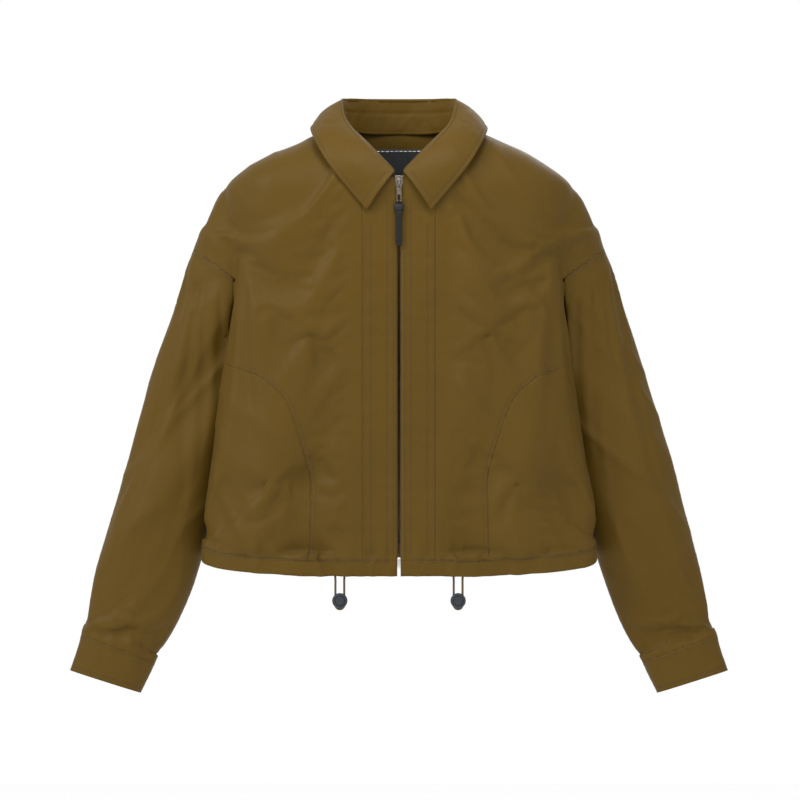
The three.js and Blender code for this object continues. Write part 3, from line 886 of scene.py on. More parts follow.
class JACKET_OT_stage(bpy.types.Operator):
    """Adds the pale floor, the soft lights and the camera."""

    bl_idname = "jacket.stage"
    bl_label = "Stage"

    def execute(self, context):
        scene = context.scene
        bpy.ops.mesh.primitive_plane_add(size=14.0, location=(0, 0, -1.05))
        floor = context.object
        floor.name = "floor"
        bpy.ops.object.transform_apply(location=True, rotation=True, scale=True)
        white = Shade("studio_white")
        floor.data.materials.append(white.finish({"Base Color": (0.95, 0.95, 0.95, 1), "Roughness": 0.9}))
        world = bpy.data.worlds.new("studio")
        world.use_nodes = True
        background = world.node_tree.nodes["Background"]
        background.inputs["Color"].default_value = (1.0, 1.0, 1.0, 1.0)
        background.inputs["Strength"].default_value = 1.0
        scene.world = world
        scene.view_settings.view_transform = "Standard"
        for name, place, size, power in (
            ("key_light", (-2.6, -2.0, 1.7), 1.2, 95),
            ("fill_light", (2.6, -2.6, 0.2), 2.4, 22),
            ("back_light", (0.6, 2.8, 1.6), 2.2, 30),
            ("top_light", (0.3, -2.6, 2.4), 1.6, 30),
            ("neck_light", (0.0, -0.42, 0.30), 0.2, 1.3),
        ):
            lamp = bpy.data.lights.new(name, "AREA")
            lamp.size = size
            lamp.energy = power
            holder = bpy.data.objects.new(name, lamp)
            scene.collection.objects.link(holder)
            holder.location = place
            aim = Vector((0, -0.06, -0.02 if name == "neck_light" else -0.34)) - holder.location
            holder.rotation_euler = aim.to_track_quat("-Z", "Y").to_euler()
        camera = bpy.data.objects.new("camera", bpy.data.cameras.new("camera"))
        scene.collection.objects.link(camera)
        scene.camera = camera
        distance = 16.0
        width = 1.016
        camera.data.sensor_width = 36.0
        camera.data.lens = 36.0 * distance / width
        camera.data.clip_end = 60.0
        camera.location = (0.0013, -distance - 0.12, -0.3455)
        camera.rotation_euler = (math.radians(90), 0, 0)
        return {"FINISHED"}


class JACKET_OT_body(bpy.types.Operator):
    """Makes the body's cloth in one piece, lets it settle and cuts it into its panels along the seams."""

    bl_idname = "jacket.body"
    bl_label = "Body panels"

    def execute(self, context):
        body = self.form(context.scene.jacket.voxel)
        self.settle(body, context.scene.jacket.ease)
        keep_surface("body", body)
        bm = bm_of(body)
        self.cut_seams(bm)
        self.label(bm)
        for code, (name, node, flat) in self.panels().items():
            piece = part_of(bm, name, code)
            as_cloth(piece, "taffeta", "root", [node], flat, "gathered" if "hem" in name else "hung")
        bm.free()
        remove(body)
        return {"FINISHED"}

    def form(self, voxel):
        """The body with the start of each sleeve, open at the armholes."""
        body = add_object("body_cloth", body_mesh(0.0))
        for side in (-1, 1):
            arm = add_object("arm", sleeve_mesh(side))
            past = beyond_block(Vector((side * ARMHOLE.x, 0, ARMHOLE.z)), -side * ARMHOLE_TILT, 0.02)
            combine(arm, past, "DIFFERENCE")
            remove(past)
            combine(body, arm, "UNION")
            remove(arm)
        remesh(body, voxel)
        apply_modifier(body, "SMOOTH", {"factor": 0.5, "iterations": 6})
        bm = bm_of(body)
        for side in (-1, 1):
            cut(bm, lambda p: armhole_distance(p, side), lambda p: p.x * side > 0.19)
            drop_faces(bm, lambda p: cap_end(p, side), lambda p: p.x * side > 0.19 and p.z > -0.30)
        bm.to_mesh(body.data)
        bm.free()
        return body

    def settle(self, body, ease_share):
        """Holds the cloth at its seams, lets the rest settle and crease, and keeps room for the drawcord."""
        points = coordinates(body.data)
        held = np.zeros(len(points))
        for side in (-1, 1):
            near = np.abs(armhole_distance(points, side)) * np.where(points[:, 0] * side > 0.19, 1, 99)
            held = np.maximum(held, 1 - np.clip((near - 0.006) / 0.03, 0, 1))
        centre = np.abs(points[:, 0]) * np.where(points[:, 1] < SIDE_SEAM_Y, 1, 99)
        held = np.maximum(held, 1 - np.clip((centre - 0.03) / 0.05, 0, 1))
        held = np.maximum(held, 1 - np.clip((neck_inside(points) * -1) / 0.03, 0, 1))
        held = np.maximum(held, 0.6 * (1 - np.clip(np.abs(hem_height(points)) / 0.03, 0, 1)))
        let_settle(body, held, 20, ease_share, 0.8, 0.006)
        push(body, body_creases(coordinates(body.data), held), 0.3)
        apply_modifier(body, "SMOOTH", {"factor": 0.5, "iterations": 2})
        points = coordinates(body.data)
        in_channel = np.where(hem_height(points) < CHANNEL + 0.004, 1, 0)
        push(body, np.clip(-0.0004 - body_excess(points), 0, 0.02) * in_channel)

    def cut_seams(self, bm):
        """Opens the hem and the neck, and adds edges along every seam."""
        for field in (lambda p: -hem_height(p), neck_inside):
            cut(bm, field)
            drop_faces(bm, field)
        cut(bm, lambda p: p[:, 1] - SIDE_SEAM_Y)
        cut(bm, lambda p: hem_height(p) - CHANNEL)
        for side in (-1, 1):
            for edge in (PLACKET_EDGE, PLACKET_OUT):
                cut(bm, lambda p: p[:, 0] * side - edge, lambda p: p.y < SIDE_SEAM_Y)
            cut(bm, pocket_field(side), lambda p: p.y < SIDE_SEAM_Y and p.x * side > PLACKET_OUT)

    def label(self, bm):
        """Gives each face the number of its panel: 0 for none, and below 0 for a front panel on the left."""
        label = bm.faces.layers.int.new("label")
        faces = list(bm.faces)
        middles = np.array([f.calc_center_median()[:] for f in faces])
        rise = hem_height(middles)
        pockets = {side: pocket_field(side)(middles) for side in (-1, 1)}
        for i, face in enumerate(faces):
            x, y, z = middles[i]
            side = -1 if x < 0 else 1
            if y > SIDE_SEAM_Y:
                code = 1 if rise[i] > CHANNEL else 2
            elif abs(x) < PLACKET_EDGE:
                code = 0
            elif rise[i] < CHANNEL:
                code = 3 * side
            elif abs(x) < PLACKET_OUT:
                code = 4 * side
            elif pockets[side][i] < 0 and z < -0.25:
                code = 5 * side
            else:
                code = 6 * side
            face[label] = code

    def panels(self):
        """Each panel's number, with its name, the solid it replaces and its flat size."""
        found = {
            1: ("back_cloth", "back_panel", (0.70, 0.58)),
            2: ("back_hem_cloth", "back_hem_band", (0.62, 0.022)),
        }
        for code, piece, flat in (
            (3, "hem_band", (0.32, 0.024)),
            (4, "placket", (0.043, 0.50)),
            (5, "pocket_panel", (0.20, 0.28)),
            (6, "front_panel", (0.32, 0.56)),
        ):
            found[-code] = ("left_" + piece + "_cloth", "left_" + piece, flat)
            found[code] = ("right_" + piece + "_cloth", "right_" + piece, flat)
        return found


def cap_end(points, side):
    """Positive past the armhole seam where the sleeve's stub is."""
    past = armhole_distance(points, side)
    outside = body_excess(points)
    return np.where((past > 1e-5) & (outside > 0.0015), past, -1)


class JACKET_OT_sleeves(bpy.types.Operator):
    """Makes each sleeve and its cuff."""

    bl_idname = "jacket.sleeves"
    bl_label = "Sleeves and cuffs"

    def execute(self, context):
        settings = context.scene.jacket
        for side, word in ((-1, "left"), (1, "right")):
            arm = add_object("arm_cloth", sleeve_mesh(side, first=2))
            room = add_object("room", body_mesh(0.0014))
            combine(arm, room, "DIFFERENCE")
            remove(room)
            remesh(arm, settings.voxel)
            apply_modifier(arm, "SMOOTH", {"factor": 0.5, "iterations": 6})
            points = coordinates(arm.data)
            past = armhole_distance(points, side)
            held = 1 - np.clip((past - 0.006) / 0.03, 0, 1)
            cuff = edge_distance(points, side, CUFF_SEAM)
            held = np.maximum(held, np.clip((cuff + 0.012) / 0.012, 0, 1))
            let_settle(arm, held, 20, settings.ease, 0.8, 0.006)
            push(arm, arm_creases(coordinates(arm.data), side, held), 0.22)
            tucked = np.where(armhole_distance(coordinates(arm.data), side) < 0, -0.0009, 0.0)
            push(arm, tucked)
            keep_surface(word + "_arm", arm)
            bm = bm_of(arm)
            for field in (
                lambda p: -armhole_distance(p, side) - TUCK,
                lambda p: edge_distance(p, side, CUFF_MOUTH),
            ):
                cut(bm, field)
                drop_faces(bm, field)
            cut(bm, lambda p: edge_distance(p, side, CUFF_SEAM))
            label = bm.faces.layers.int.new("label")
            faces = list(bm.faces)
            past = edge_distance(np.array([f.calc_center_median()[:] for f in faces]), side, CUFF_SEAM)
            for f, value in zip(faces, past):
                f[label] = 2 if value > 0 else 1
            sleeve = part_of(bm, word + "_sleeve_cloth", 1)
            cuff_cloth = part_of(bm, word + "_cuff_cloth", 2)
            as_cloth(sleeve, "taffeta", None, [word + "_sleeve"], (0.44, 0.56))
            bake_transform(sleeve)
            as_cloth(
                cuff_cloth,
                "taffeta",
                word + "_sleeve",
                [word + "_cuff"],
                (0.28, 0.050),
                thickness=CLOTH * 1.6,
            )
            bm.free()
            remove(arm)
        return {"FINISHED"}


COLLAR_FOLD = [
    (0.000, -0.004, 0.0380),
    (0.040, -0.012, 0.0380),
    (0.066, -0.038, 0.0380),
    (0.075, -0.064, 0.0340),
    (0.067, -0.106, 0.0060),
    (0.040, -0.142, -0.0245),
    (0.006, -0.1545, -0.056),
]
COLLAR_EDGE = [
    (0.000, 0.012, -0.026),
    (0.052, 0.007, -0.025),
    (0.098, -0.008, -0.014),
    (0.113, -0.064, 0.002),
    (0.107, -0.124, -0.0145),
    (0.086, -0.152, -0.050),
    (0.041, -0.157, -0.105),
]
COLLAR_SEAM = [
    (0.000, -0.0025, -0.006),
    (0.036, -0.012, -0.006),
    (0.059, -0.034, -0.003),
    (0.066, -0.062, 0.002),
    (0.056, -0.104, -0.004),
    (0.037, -0.131, -0.022),
    (0.007, -0.146, -0.053),
]


def collar_rows(count=361, across=45):
    """Rows of the collar leaf from its fold to its edge, and the outward direction at each."""
    fold = matched_curve(both_ways(COLLAR_FOLD), count)
    edge = matched_curve(both_ways(COLLAR_EDGE), count)
    along = np.gradient(fold, axis=0)
    along /= np.linalg.norm(along, axis=1, keepdims=True)
    down = edge - fold
    out = np.cross(along, down)
    out /= np.linalg.norm(out, axis=1, keepdims=True)
    rows = []
    for share in np.linspace(0, 1, across):
        bow = 0.0052 * math.sin(math.pi * share) ** 0.8 - 0.0012 * share**3
        rows.append(fold + down * share + out * bow)
    return np.array(rows)


LIP = 0.0014  # radius of the roll at the collar's fold
COLLAR_SEWN = 0.905  # the stitches run at this share of the leaf, from its fold
END_SEWN = 4  # and this many points in from its ends


def toward_neck(points):
    """The level direction from each point to the middle of the neck."""
    inwards = np.stack([-points[:, 0], SIDE_SEAM_Y - points[:, 1], np.zeros(len(points))], axis=1)
    return inwards / np.linalg.norm(inwards, axis=1, keepdims=True)


def leaf_side(leaf):
    """1 where the sheet's normals face away from the neck, and -1 where they face it."""
    middle = Vector((0, SIDE_SEAM_Y, 0))
    away = sum((face.center - middle).dot(face.normal) for face in leaf.data.polygons)
    return 1 if away > 0 else -1


class JACKET_OT_collar(bpy.types.Operator):
    """Makes the collar leaf, which rolls over at its fold, and the stand inside it."""

    bl_idname = "jacket.collar"
    bl_label = "Collar"

    def execute(self, context):
        self.leaf()
        self.stand()
        return {"FINISHED"}

    def leaf(self):
        rows = collar_rows()
        inwards = toward_neck(rows[0])
        lip = []
        for turn in np.linspace(math.pi, 0.35, 6):
            up = np.array([0, 0, LIP * math.sin(turn)])
            lip.append(rows[0] + inwards * LIP * (1 - math.cos(turn)) + up)
        rows = np.concatenate([[lip[0] - np.array([0, 0, 2 * LIP])], lip, rows])
        leaf = grid_object("collar_leaf_cloth", rows)
        points = coordinates(leaf.data).copy()
        from_fold = np.clip(np.repeat(np.linspace(-7 / 44, 1, len(rows)), rows.shape[1]), 0, 1)
        from_end = np.tile(np.minimum(np.arange(rows.shape[1]), np.arange(rows.shape[1])[::-1]), len(rows))
        swell = wavy(points, (34, 34, 34), 2.6) * 0.0016 + wavy(points, (90, 90, 90), 4.9) * 0.0005
        grooves = bell(from_fold - COLLAR_SEWN, 0.016) + bell(from_end - END_SEWN, 0.9) * (from_fold > 0.1)
        ridge = bell(from_fold - 0.97, 0.05) * 0.0005
        lift = np.abs(swell) * np.sin(math.pi * from_fold) + ridge - 0.0007 * np.minimum(grooves, 1)
        push(leaf, lift * leaf_side(leaf))
        keep_surface("collar", leaf)
        as_cloth(leaf, "taffeta", "root", ["collar_leaf"], (0.62, 0.085), "folded", thickness=0.0016)

    def stand(self):
        seam = matched_curve(both_ways(COLLAR_SEAM), 121)
        top = matched_curve(both_ways(COLLAR_FOLD), 121)
        inwards = toward_neck(top)
        inner_top = top + inwards * LIP - np.array([0, 0, 0.0006])
        shares = np.linspace(0, 1, 23)
        stand_rows = [seam + (inner_top - seam) * share for share in shares]
        stand = grid_object("collar_stand_cloth", stand_rows)
        points = coordinates(stand.data).copy()
        height = shares.repeat(len(top))
        slant = points @ np.array([[1, 0, 0], [0, 1, 0], [-0.6, 0, 1]])
        creases = ridged(slant, (60, 45, 20), 3.3) * 0.0010 + wavy(points, (80, 60, 60), 6.2) * 0.0008
        sewn = bell(height - 0.62, 0.05) + bell(height - 0.06, 0.05)
        inward_move = (creases - 0.0007 * sewn) * np.sin(math.pi * height) ** 0.5
        set_coordinates(stand.data, points + np.tile(inwards, (len(shares), 1)) * inward_move[:, None])
        keep_surface("stand", stand)
        as_cloth(stand, "taffeta", "root", ["collar_stand"], (0.42, 0.045), "folded", offset=1.0)


def inner_surface(name, inset, x_half, z_low, z_high, step=0.004):
    """A sheet inside the back of the body, this far in from its surface."""
    rows = []
    for z in np.arange(z_high, z_low - step / 2, -step):
        rows.append([inside_body(x, z, inset, False) for x in np.linspace(-x_half, x_half, 61)])
    return grid_object(name, rows)


class JACKET_OT_inside(bpy.types.Operator):
    """Makes the back-neck facing and its label, the two pocket bags and the zip tapes."""

    bl_idname = "jacket.inside"
    bl_label = "Facing and label"

    def execute(self, context):
        facing = inner_surface("neck_facing_cloth", 0.0024, 0.094, -0.078, -0.003)
        as_cloth(facing, "taffeta", "root", ["back_neck_facing"], (0.22, 0.085), thickness=0.0010)
        label = inner_surface("neck_label_cloth", 0.0040, 0.050, -0.069, -0.024, 0.003)
        as_cloth(label, "label", "root", ["neck_label"], (0.101, 0.047), thickness=0.0007)
        for side, word in ((-1, "left"), (1, "right")):
            rows = []
            for x in np.linspace(POCKET_IN, POCKET_OUT, 26):
                top = np.interp(x, [POCKET_IN, POCKET_IN + 0.030, POCKET_OUT], [-0.340, -0.300, -0.290])
                heights = np.linspace(POCKET_LOW, top, 40)
                rows.append([inside_body(side * x, z, 0.0040, True) for z in heights])
            bag = grid_object(word + "_pocket_bag_cloth", rows)
            as_cloth(bag, "taffeta", "root", [word + "_pocket_bag"], (0.12, 0.235), thickness=0.0008)
            tape_x = np.linspace(COIL_OUT + 0.0004, COIL_OUT + 0.0143, 7)
            tape_z = np.linspace(ZIP_LOW, ZIP_TOP, 90)
            tape = [[(side * x, ZIP_Y + 0.0004, z) for x in tape_x] for z in tape_z]
            strip = grid_object(word + "_zip_tape_cloth", tape)
            as_cloth(strip, "taffeta", "root", [word + "_zip_tape"], (0.0145, 0.50), thickness=0.0007)
        return {"FINISHED"}


def hem_points(rise, sides=260, reach=0.0):
    """Points round the hem at this height over its edge, from the front of the left side over the back."""
    half, front, back, wide = LEVELS[1][1:]
    turn = np.linspace(0, 2 * math.pi, sides, endpoint=False) - math.pi / 2
    deep = np.sin(turn)
    power = np.where(deep < 0, 2 / FRONT_FLATNESS, 2 / BACK_ROUNDNESS)
    x = half * powered(np.cos(turn), power)
    y = wide + np.where(deep < 0, wide - front, back - wide) * powered(deep, power)
    forward = np.clip((FOLD_Y - y) / (FOLD_Y - FRONT_Y), 0, 1.3)
    points = np.stack([x, y, HEM_Z - HEM_DROP * forward + rise], axis=1)
    away = np.where(y < wide, np.abs(x), 1.0)
    return points[away > reach]


def tube(name, points, radius, sides=10, twist=0.0):
    """A round tube along the points, closed at its ends, with its length and turn as its UV."""
    points = [Vector(p) for p in points]
    rings = []
    up = Vector((0, 1, 0))
    for i, point in enumerate(points):
        along = (points[min(i + 1, len(points) - 1)] - points[max(i - 1, 0)]).normalized()
        across = along.cross(up)
        across = across.normalized() if across.length > 0.1 else along.cross(Vector((0, 0, 1))).normalized()
        up = across.cross(along).normalized()
        rings.append(
            [
                point + (across * math.cos(turn) + up * math.sin(turn)) * radius
                for turn in (2 * math.pi * k / sides for k in range(sides))
            ]
        )
    mesh = mesh_of_rings(name, np.array([[list(v) for v in ring] for ring in rings]))
    mesh.shade_smooth()
    uv = mesh.uv_layers.new(name="length")
    lengths = np.concatenate([[0], np.cumsum([(b - a).length for a, b in zip(points[:-1], points[1:])])])
    for face in mesh.polygons:
        turns = [(mesh.loops[l].vertex_index % sides) / sides for l in face.loop_indices]
        wraps = max(turns) - min(turns) > 0.5
        for l, turn in zip(face.loop_indices, turns):
            row = min(mesh.loops[l].vertex_index // sides, len(points) - 1)
            uv.data[l].uv = (lengths[row] * 100, turn + 1 if wraps and turn < 0.5 else turn)
    return add_object(name, mesh)


def block(name, size, middle, finish, body, bevel, nodes):
    """A finished box with eased edges that stands for a solid."""
    made = raw_block(size, middle, bevel)
    made.name = name
    return settle_hard(made, finish, body, nodes)


def disc(name, radius, y_front, y_back, x, z, sides=64):
    """A round bar that faces forward."""
    bpy.ops.object.select_all(action="DESELECT")
    bpy.ops.mesh.primitive_cylinder_add(
        vertices=sides,
        radius=radius,
        depth=y_back - y_front,
        location=(x, (y_front + y_back) / 2, z),
        rotation=(math.radians(90), 0, 0),
    )
    made = bpy.context.object
    made.name = name
    bpy.ops.object.transform_apply(location=True, rotation=True, scale=True)
    return made


def ease(obj, width, segments=3):
    if width > 0:
        apply_modifier(obj, "BEVEL", {"width": width, "segments": segments, "limit_method": "ANGLE"})


def settle_hard(obj, finish, body, nodes):
    """Smooths and dresses a hard piece, and puts it on its body in place of the solids."""
    only(obj)
    bpy.ops.object.shade_smooth_by_angle(angle=math.radians(35))
    dress(obj, finish)
    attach(obj, body)
    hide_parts(*nodes)
    return obj


def as_cord(obj, node):
    dress(obj, "braid")
    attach(obj, "root")
    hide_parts(node)


def join(name, objects):
    bpy.ops.object.select_all(action="DESELECT")
    for obj in objects:
        obj.select_set(True)
    bpy.context.view_layer.objects.active = objects[0]
    bpy.ops.object.join()
    objects[0].name = name
    return objects[0]


def raw_block(size, middle, bevel=0.0, taper=1.0):
    """A plain box whose lower end is narrower by the taper."""
    bpy.ops.object.select_all(action="DESELECT")
    bpy.ops.mesh.primitive_cube_add(size=1.0, location=middle)
    made = bpy.context.object
    made.scale = size
    bpy.ops.object.transform_apply(location=True, rotation=False, scale=True)
    for vertex in made.data.vertices:
        if vertex.co.z < middle[2]:
            vertex.co.x = middle[0] + (vertex.co.x - middle[0]) * taper
    ease(made, bevel)
    return made


class JACKET_OT_zip(bpy.types.Operator):
    """Makes the zip: its coils, stops, box, pin, slider and bail, and the pull with its leather strap."""

    bl_idname = "jacket.zip"
    bl_label = "Zip"

    def execute(self, context):
        self.coils()
        self.ends()
        self.slider()
        self.strap()
        return {"FINISHED"}

    def coils(self):
        low = ZIP_LOW + 0.0129
        high = ZIP_TOP - 0.0054
        count = int((high - low) / COIL_PITCH)
        for side, word in ((-1, "left"), (1, "right")):
            points = []
            shift = 0.25 if side > 0 else -0.25
            for i in range(count * 8):
                turn = i / 8 + shift
                angle = 2 * math.pi * turn
                x = (COIL_OUT + COIL_IN) / 2 + ((COIL_OUT - COIL_IN) / 2 - 0.0003) * math.cos(angle)
                y = ZIP_Y + 0.00095 * math.sin(angle)
                points.append((side * x, y, low + i / 8 * COIL_PITCH))
            coil = tube(word + "_zip_coil_turns", points, 0.00028, 5)
            settle_hard(coil, "coil", "root", [word + "_zip_coil"])
            block(
                word + "_zip_stop_clamp",
                (0.0024, 0.0026, 0.0050),
                (side * 0.0020, ZIP_Y, ZIP_TOP - 0.0025),
                "steel",
                "root",
                0.0004,
                [word + "_zip_top_stop"],
            )

    def ends(self):
        middle = (0.0, ZIP_Y, ZIP_LOW + 0.00625)
        box = raw_block((0.0078, 0.0048, 0.0125), middle, 0.0006)
        room = raw_block((0.0031, 0.0032, 0.0130), (0.00155, ZIP_Y, ZIP_LOW + 0.0078))
        combine(box, room, "DIFFERENCE")
        remove(room)
        box.name = "zip_box"
        settle_hard(box, "steel", "root", ["zip_retainer_box"])
        block(
            "zip_pin",
            (0.0023, 0.0023, 0.0112),
            (0.0016, ZIP_Y, ZIP_LOW + 0.0069),
            "steel",
            "root",
            0.0003,
            ["zip_insertion_pin"],
        )

    def slider(self):
        top = NECK_FRONT_Z
        plates = []
        for y, thick in ((FRONT_Y - 0.0017, 0.0014), (ZIP_Y + 0.0020, 0.0010)):
            plates.append(raw_block((0.0109, thick, 0.0140), (0, y, top - 0.0070), 0.0005, 0.72))
        plates.append(raw_block((0.0010, 0.0068, 0.0040), (0, ZIP_Y - 0.0010, top - 0.0030), 0.0001))
        for side in (-1, 1):
            place = (side * 0.0049, FRONT_Y - 0.0004, top - 0.0062)
            plates.append(raw_block((0.0007, 0.0018, 0.0105), place, 0.0002))
        body = join("slider_body", plates)
        settle_hard(body, "gunmetal", "zip_slider", ["zip_slider"])
        foot = FRONT_Y - 0.0024
        arch = [(0, foot, top - 0.0021)]
        for turn in np.linspace(0, math.pi, 15):
            arch.append((0, foot - 0.0027 * math.sin(turn) ** 0.6, top - 0.0070 + 0.0047 * math.cos(turn)))
        arch.append((0, foot, top - 0.0119))
        bail = tube("slider_bail", arch, 0.00075, 10)
        bail.data.transform(Matrix.Diagonal((1.7, 1, 1, 1)))
        settle_hard(bail, "gunmetal", "zip_slider", ["zip_bail"])
        pull_y = foot - 0.0003 - 0.0009
        tab = raw_block((0.0064, 0.0012, 0.0282), (0, pull_y, -0.0799))
        upper = raw_block((0.0036, 0.0060, 0.0118), (0, pull_y, -0.0706))
        lower = raw_block((0.0038, 0.0060, 0.0076), (0, pull_y, -0.0888))
        for window in (upper, lower):
            combine(tab, window, "DIFFERENCE")
            remove(window)
        ease(tab, 0.00035)
        bar = [(x, pull_y, -0.0666) for x in np.linspace(-0.0027, 0.0027, 6)]
        pull = join("pull_tab", [tab, tube("pull_bar", bar, 0.0006, 12)])
        settle_hard(pull, "gunmetal", "zip_pull", ["zip_pull_tab"])

    def strap(self):
        pull_y = FRONT_Y - 0.0036
        parts = []
        ring = []
        for turn in np.linspace(0, 2 * math.pi, 25):
            ring.append((0, pull_y + 0.0017 * math.sin(turn), -0.0933 + 0.0017 * math.cos(turn)))
        loop = tube("loop", ring, 0.0006, 8)
        loop.data.transform(Matrix.Diagonal((2.4, 1, 1, 1)))
        parts.append(loop)
        bpy.ops.object.select_all(action="DESELECT")
        bpy.ops.mesh.primitive_uv_sphere_add(segments=40, ring_count=24, radius=1.0, location=(0, 0, 0))
        knob = bpy.context.object
        knob.scale = (0.0070, 0.0034, 0.0052)
        knob.location = (0, pull_y - 0.0004, -0.1012)
        bpy.ops.object.transform_apply(location=True, rotation=False, scale=True)
        parts.append(knob)
        parts.append(raw_block((0.0068, 0.0022, 0.0470), (0, pull_y - 0.0004, -0.1263), 0.0008))
        ridge_count = 22
        for i in range(ridge_count):
            z = -0.1085 - i * 0.0019
            rib = [(x, pull_y - 0.0015, z - abs(x) * 0.25) for x in np.linspace(-0.0031, 0.0031, 5)]
            parts.append(tube("rib", rib, 0.00055, 6))
        strap = join("pull_strap_leather", parts)
        settle_hard(strap, "leather", "pull_strap", ["zip_pull_strap"])


# One side of a cord loop, from the channel down: across from the loop's middle, and height.
LOOP = [
    (0.0132, -0.5610),
    (0.0090, -0.5626),
    (0.0063, -0.5672),
    (0.0056, -0.5730),
    (0.0056, -0.5810),
    (0.0056, -0.5900),
    (0.0056, -0.5960),
    (0.0056, -0.6052),
    (0.00485, -0.6080),
    (0.0028, -0.61005),
]
LOOP_END = -0.6108


class JACKET_OT_hem_cords(bpy.types.Operator):
    """Makes the channel's inner facing, the drawcord in it, the two cord loops and their sprung locks."""

    bl_idname = "jacket.hem_cords"
    bl_label = "Hem facing, cords and locks"

    def execute(self, context):
        rises = np.linspace(0.0008, 0.0195, 7)
        rows = [follow("body", hem_points(rise, reach=0.022), 0.0064) for rise in rises]
        facing = grid_object("hem_facing_cloth", rows)
        as_cloth(facing, "taffeta", "root", ["hem_facing"], (1.16, 0.021), "gathered", thickness=0.0008)
        line = follow("body", hem_points(0.008, reach=0.0886), 0.0040)
        cord = tube("drawcord", line, CORD / 2, 8)
        as_cord(cord, "hem_drawcord")
        for side, word in ((-1, "left"), (1, "right")):
            middle = side * LOCK_X
            route = LOOP + [(0.0, LOOP_END)] + [(-x, z) for x, z in reversed(LOOP)]
            route = curve_through([(middle + x, CORD_Y, z) for x, z in route], 72)
            loop = tube(word + "_loop_cord", route, CORD / 2, 12)
            as_cord(loop, word + "_cord_loop")
            body, button = self.lock(word, middle)
        return {"FINISHED"}

    def lock(self, word, x):
        back = CORD_Y + 0.0031
        front = back - 0.0100
        body = disc(word + "_lock_shell", 0.00975, front, back, x, LOCK_Z)
        ease(body, 0.0022, 6)
        bore = disc("bore", 0.0058, front - 0.005, CORD_Y - 0.0017, x, LOCK_Z)
        slot = raw_block((0.0146, 0.0034, 0.0400), (x, CORD_Y, LOCK_Z))
        for room in (bore, slot):
            combine(body, room, "DIFFERENCE")
            remove(room)
        settle_hard(body, "slate", word + "_lock", [word + "_lock_body"])
        button = disc(word + "_lock_cap", 0.0055, front - 0.0028, CORD_Y - 0.0040, x, LOCK_Z)
        only(button)
        bpy.ops.object.mode_set(mode="EDIT")
        bpy.ops.mesh.select_all(action="DESELECT")
        bpy.ops.object.mode_set(mode="OBJECT")
        for face in button.data.polygons:
            face.select = face.normal.y < -0.9
        bpy.ops.object.mode_set(mode="EDIT")
        bpy.ops.mesh.inset(thickness=0.0011)
        bpy.ops.transform.translate(value=(0, 0.0005, 0))
        bpy.ops.object.mode_set(mode="OBJECT")
        ease(button, 0.0004)
        settle_hard(button, "slate", word + "_button", [word + "_lock_button"])
        return body, button


def stitch_row(name, lines, finish, body, pitch=0.0034, length=0.0023, half=0.00034):
    """Short stitches along lines of (point, outward direction) pairs, each a small low box."""
    points = []
    faces = []
    for line in lines:
        spots = np.array([list(point) for point, _ in line])
        outs = np.array([list(out) for _, out in line])
        steps = np.linalg.norm(np.diff(spots, axis=0), axis=1)
        along = np.concatenate([[0], np.cumsum(steps)])
        starts = np.arange(pitch / 2, along[-1] - length, pitch)
        for start in starts:
            ends = []
            for at in (start, start + length):
                spot = Vector([np.interp(at, along, spots[:, i]) for i in range(3)])
                out = Vector([np.interp(at, along, outs[:, i]) for i in range(3)]).normalized()
                ends.append((spot, out))
            run = (ends[1][0] - ends[0][0]).normalized()
            first = len(points)
            for spot, out in ends:
                across = run.cross(out).normalized() * half
                for lift, spread in ((-0.2, 1.0), (0.9, 0.6), (0.9, -0.6), (-0.2, -1.0)):
                    points.append(spot + out * half * lift + across * spread)
            faces.append([first + k for k in (0, 1, 2, 3)])
            faces.append([first + k for k in (7, 6, 5, 4)])
            for k in range(4):
                n = (k + 1) % 4
                faces.append([first + k, first + 4 + k, first + 4 + n, first + n])
    mesh = bpy.data.meshes.new(name)
    mesh.from_pydata([list(p) for p in points], [], faces)
    face_outwards(mesh)
    obj = add_object(name, mesh)
    dress(obj, finish)
    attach(obj, body)


def on_front(places):
    """Points of the settled front at places in the front view, with their outward directions."""
    line = []
    for x, z in places:
        spot, normal, _, _ = SURFACES["body"].ray_cast(Vector((x, -1.0, z)), Vector((0, 1, 0)))
        if spot is not None:
            line.append((spot, normal))
    return line


def seam_ring(side, surface, edge, shift, count=150):
    """A line round the sleeve beside a slanted edge, moved along the sleeve by the shift."""
    outer, inner = edge
    middle = (outer + inner) / 2
    across = inner - outer
    normal = Vector((-across.z, 0, across.x)).normalized()
    middle = middle + normal * shift
    half = across.length / 2
    line = []
    for turn in np.linspace(0, 2 * math.pi, count):
        away = across.normalized() * math.cos(turn) * half + Vector((0, math.sin(turn) * 0.026, 0))
        start = middle + Vector((0, -0.052, 0))
        start = Vector((start.x * side, start.y, start.z))
        aim = Vector((away.x * side, away.y, away.z))
        spot, out, _, _ = SURFACES[surface].ray_cast(start, aim.normalized())
        if spot is not None:
            line.append((spot, out))
    return line


def inward(spot):
    return Vector((-spot.x, SIDE_SEAM_Y - spot.y, 0)).normalized()


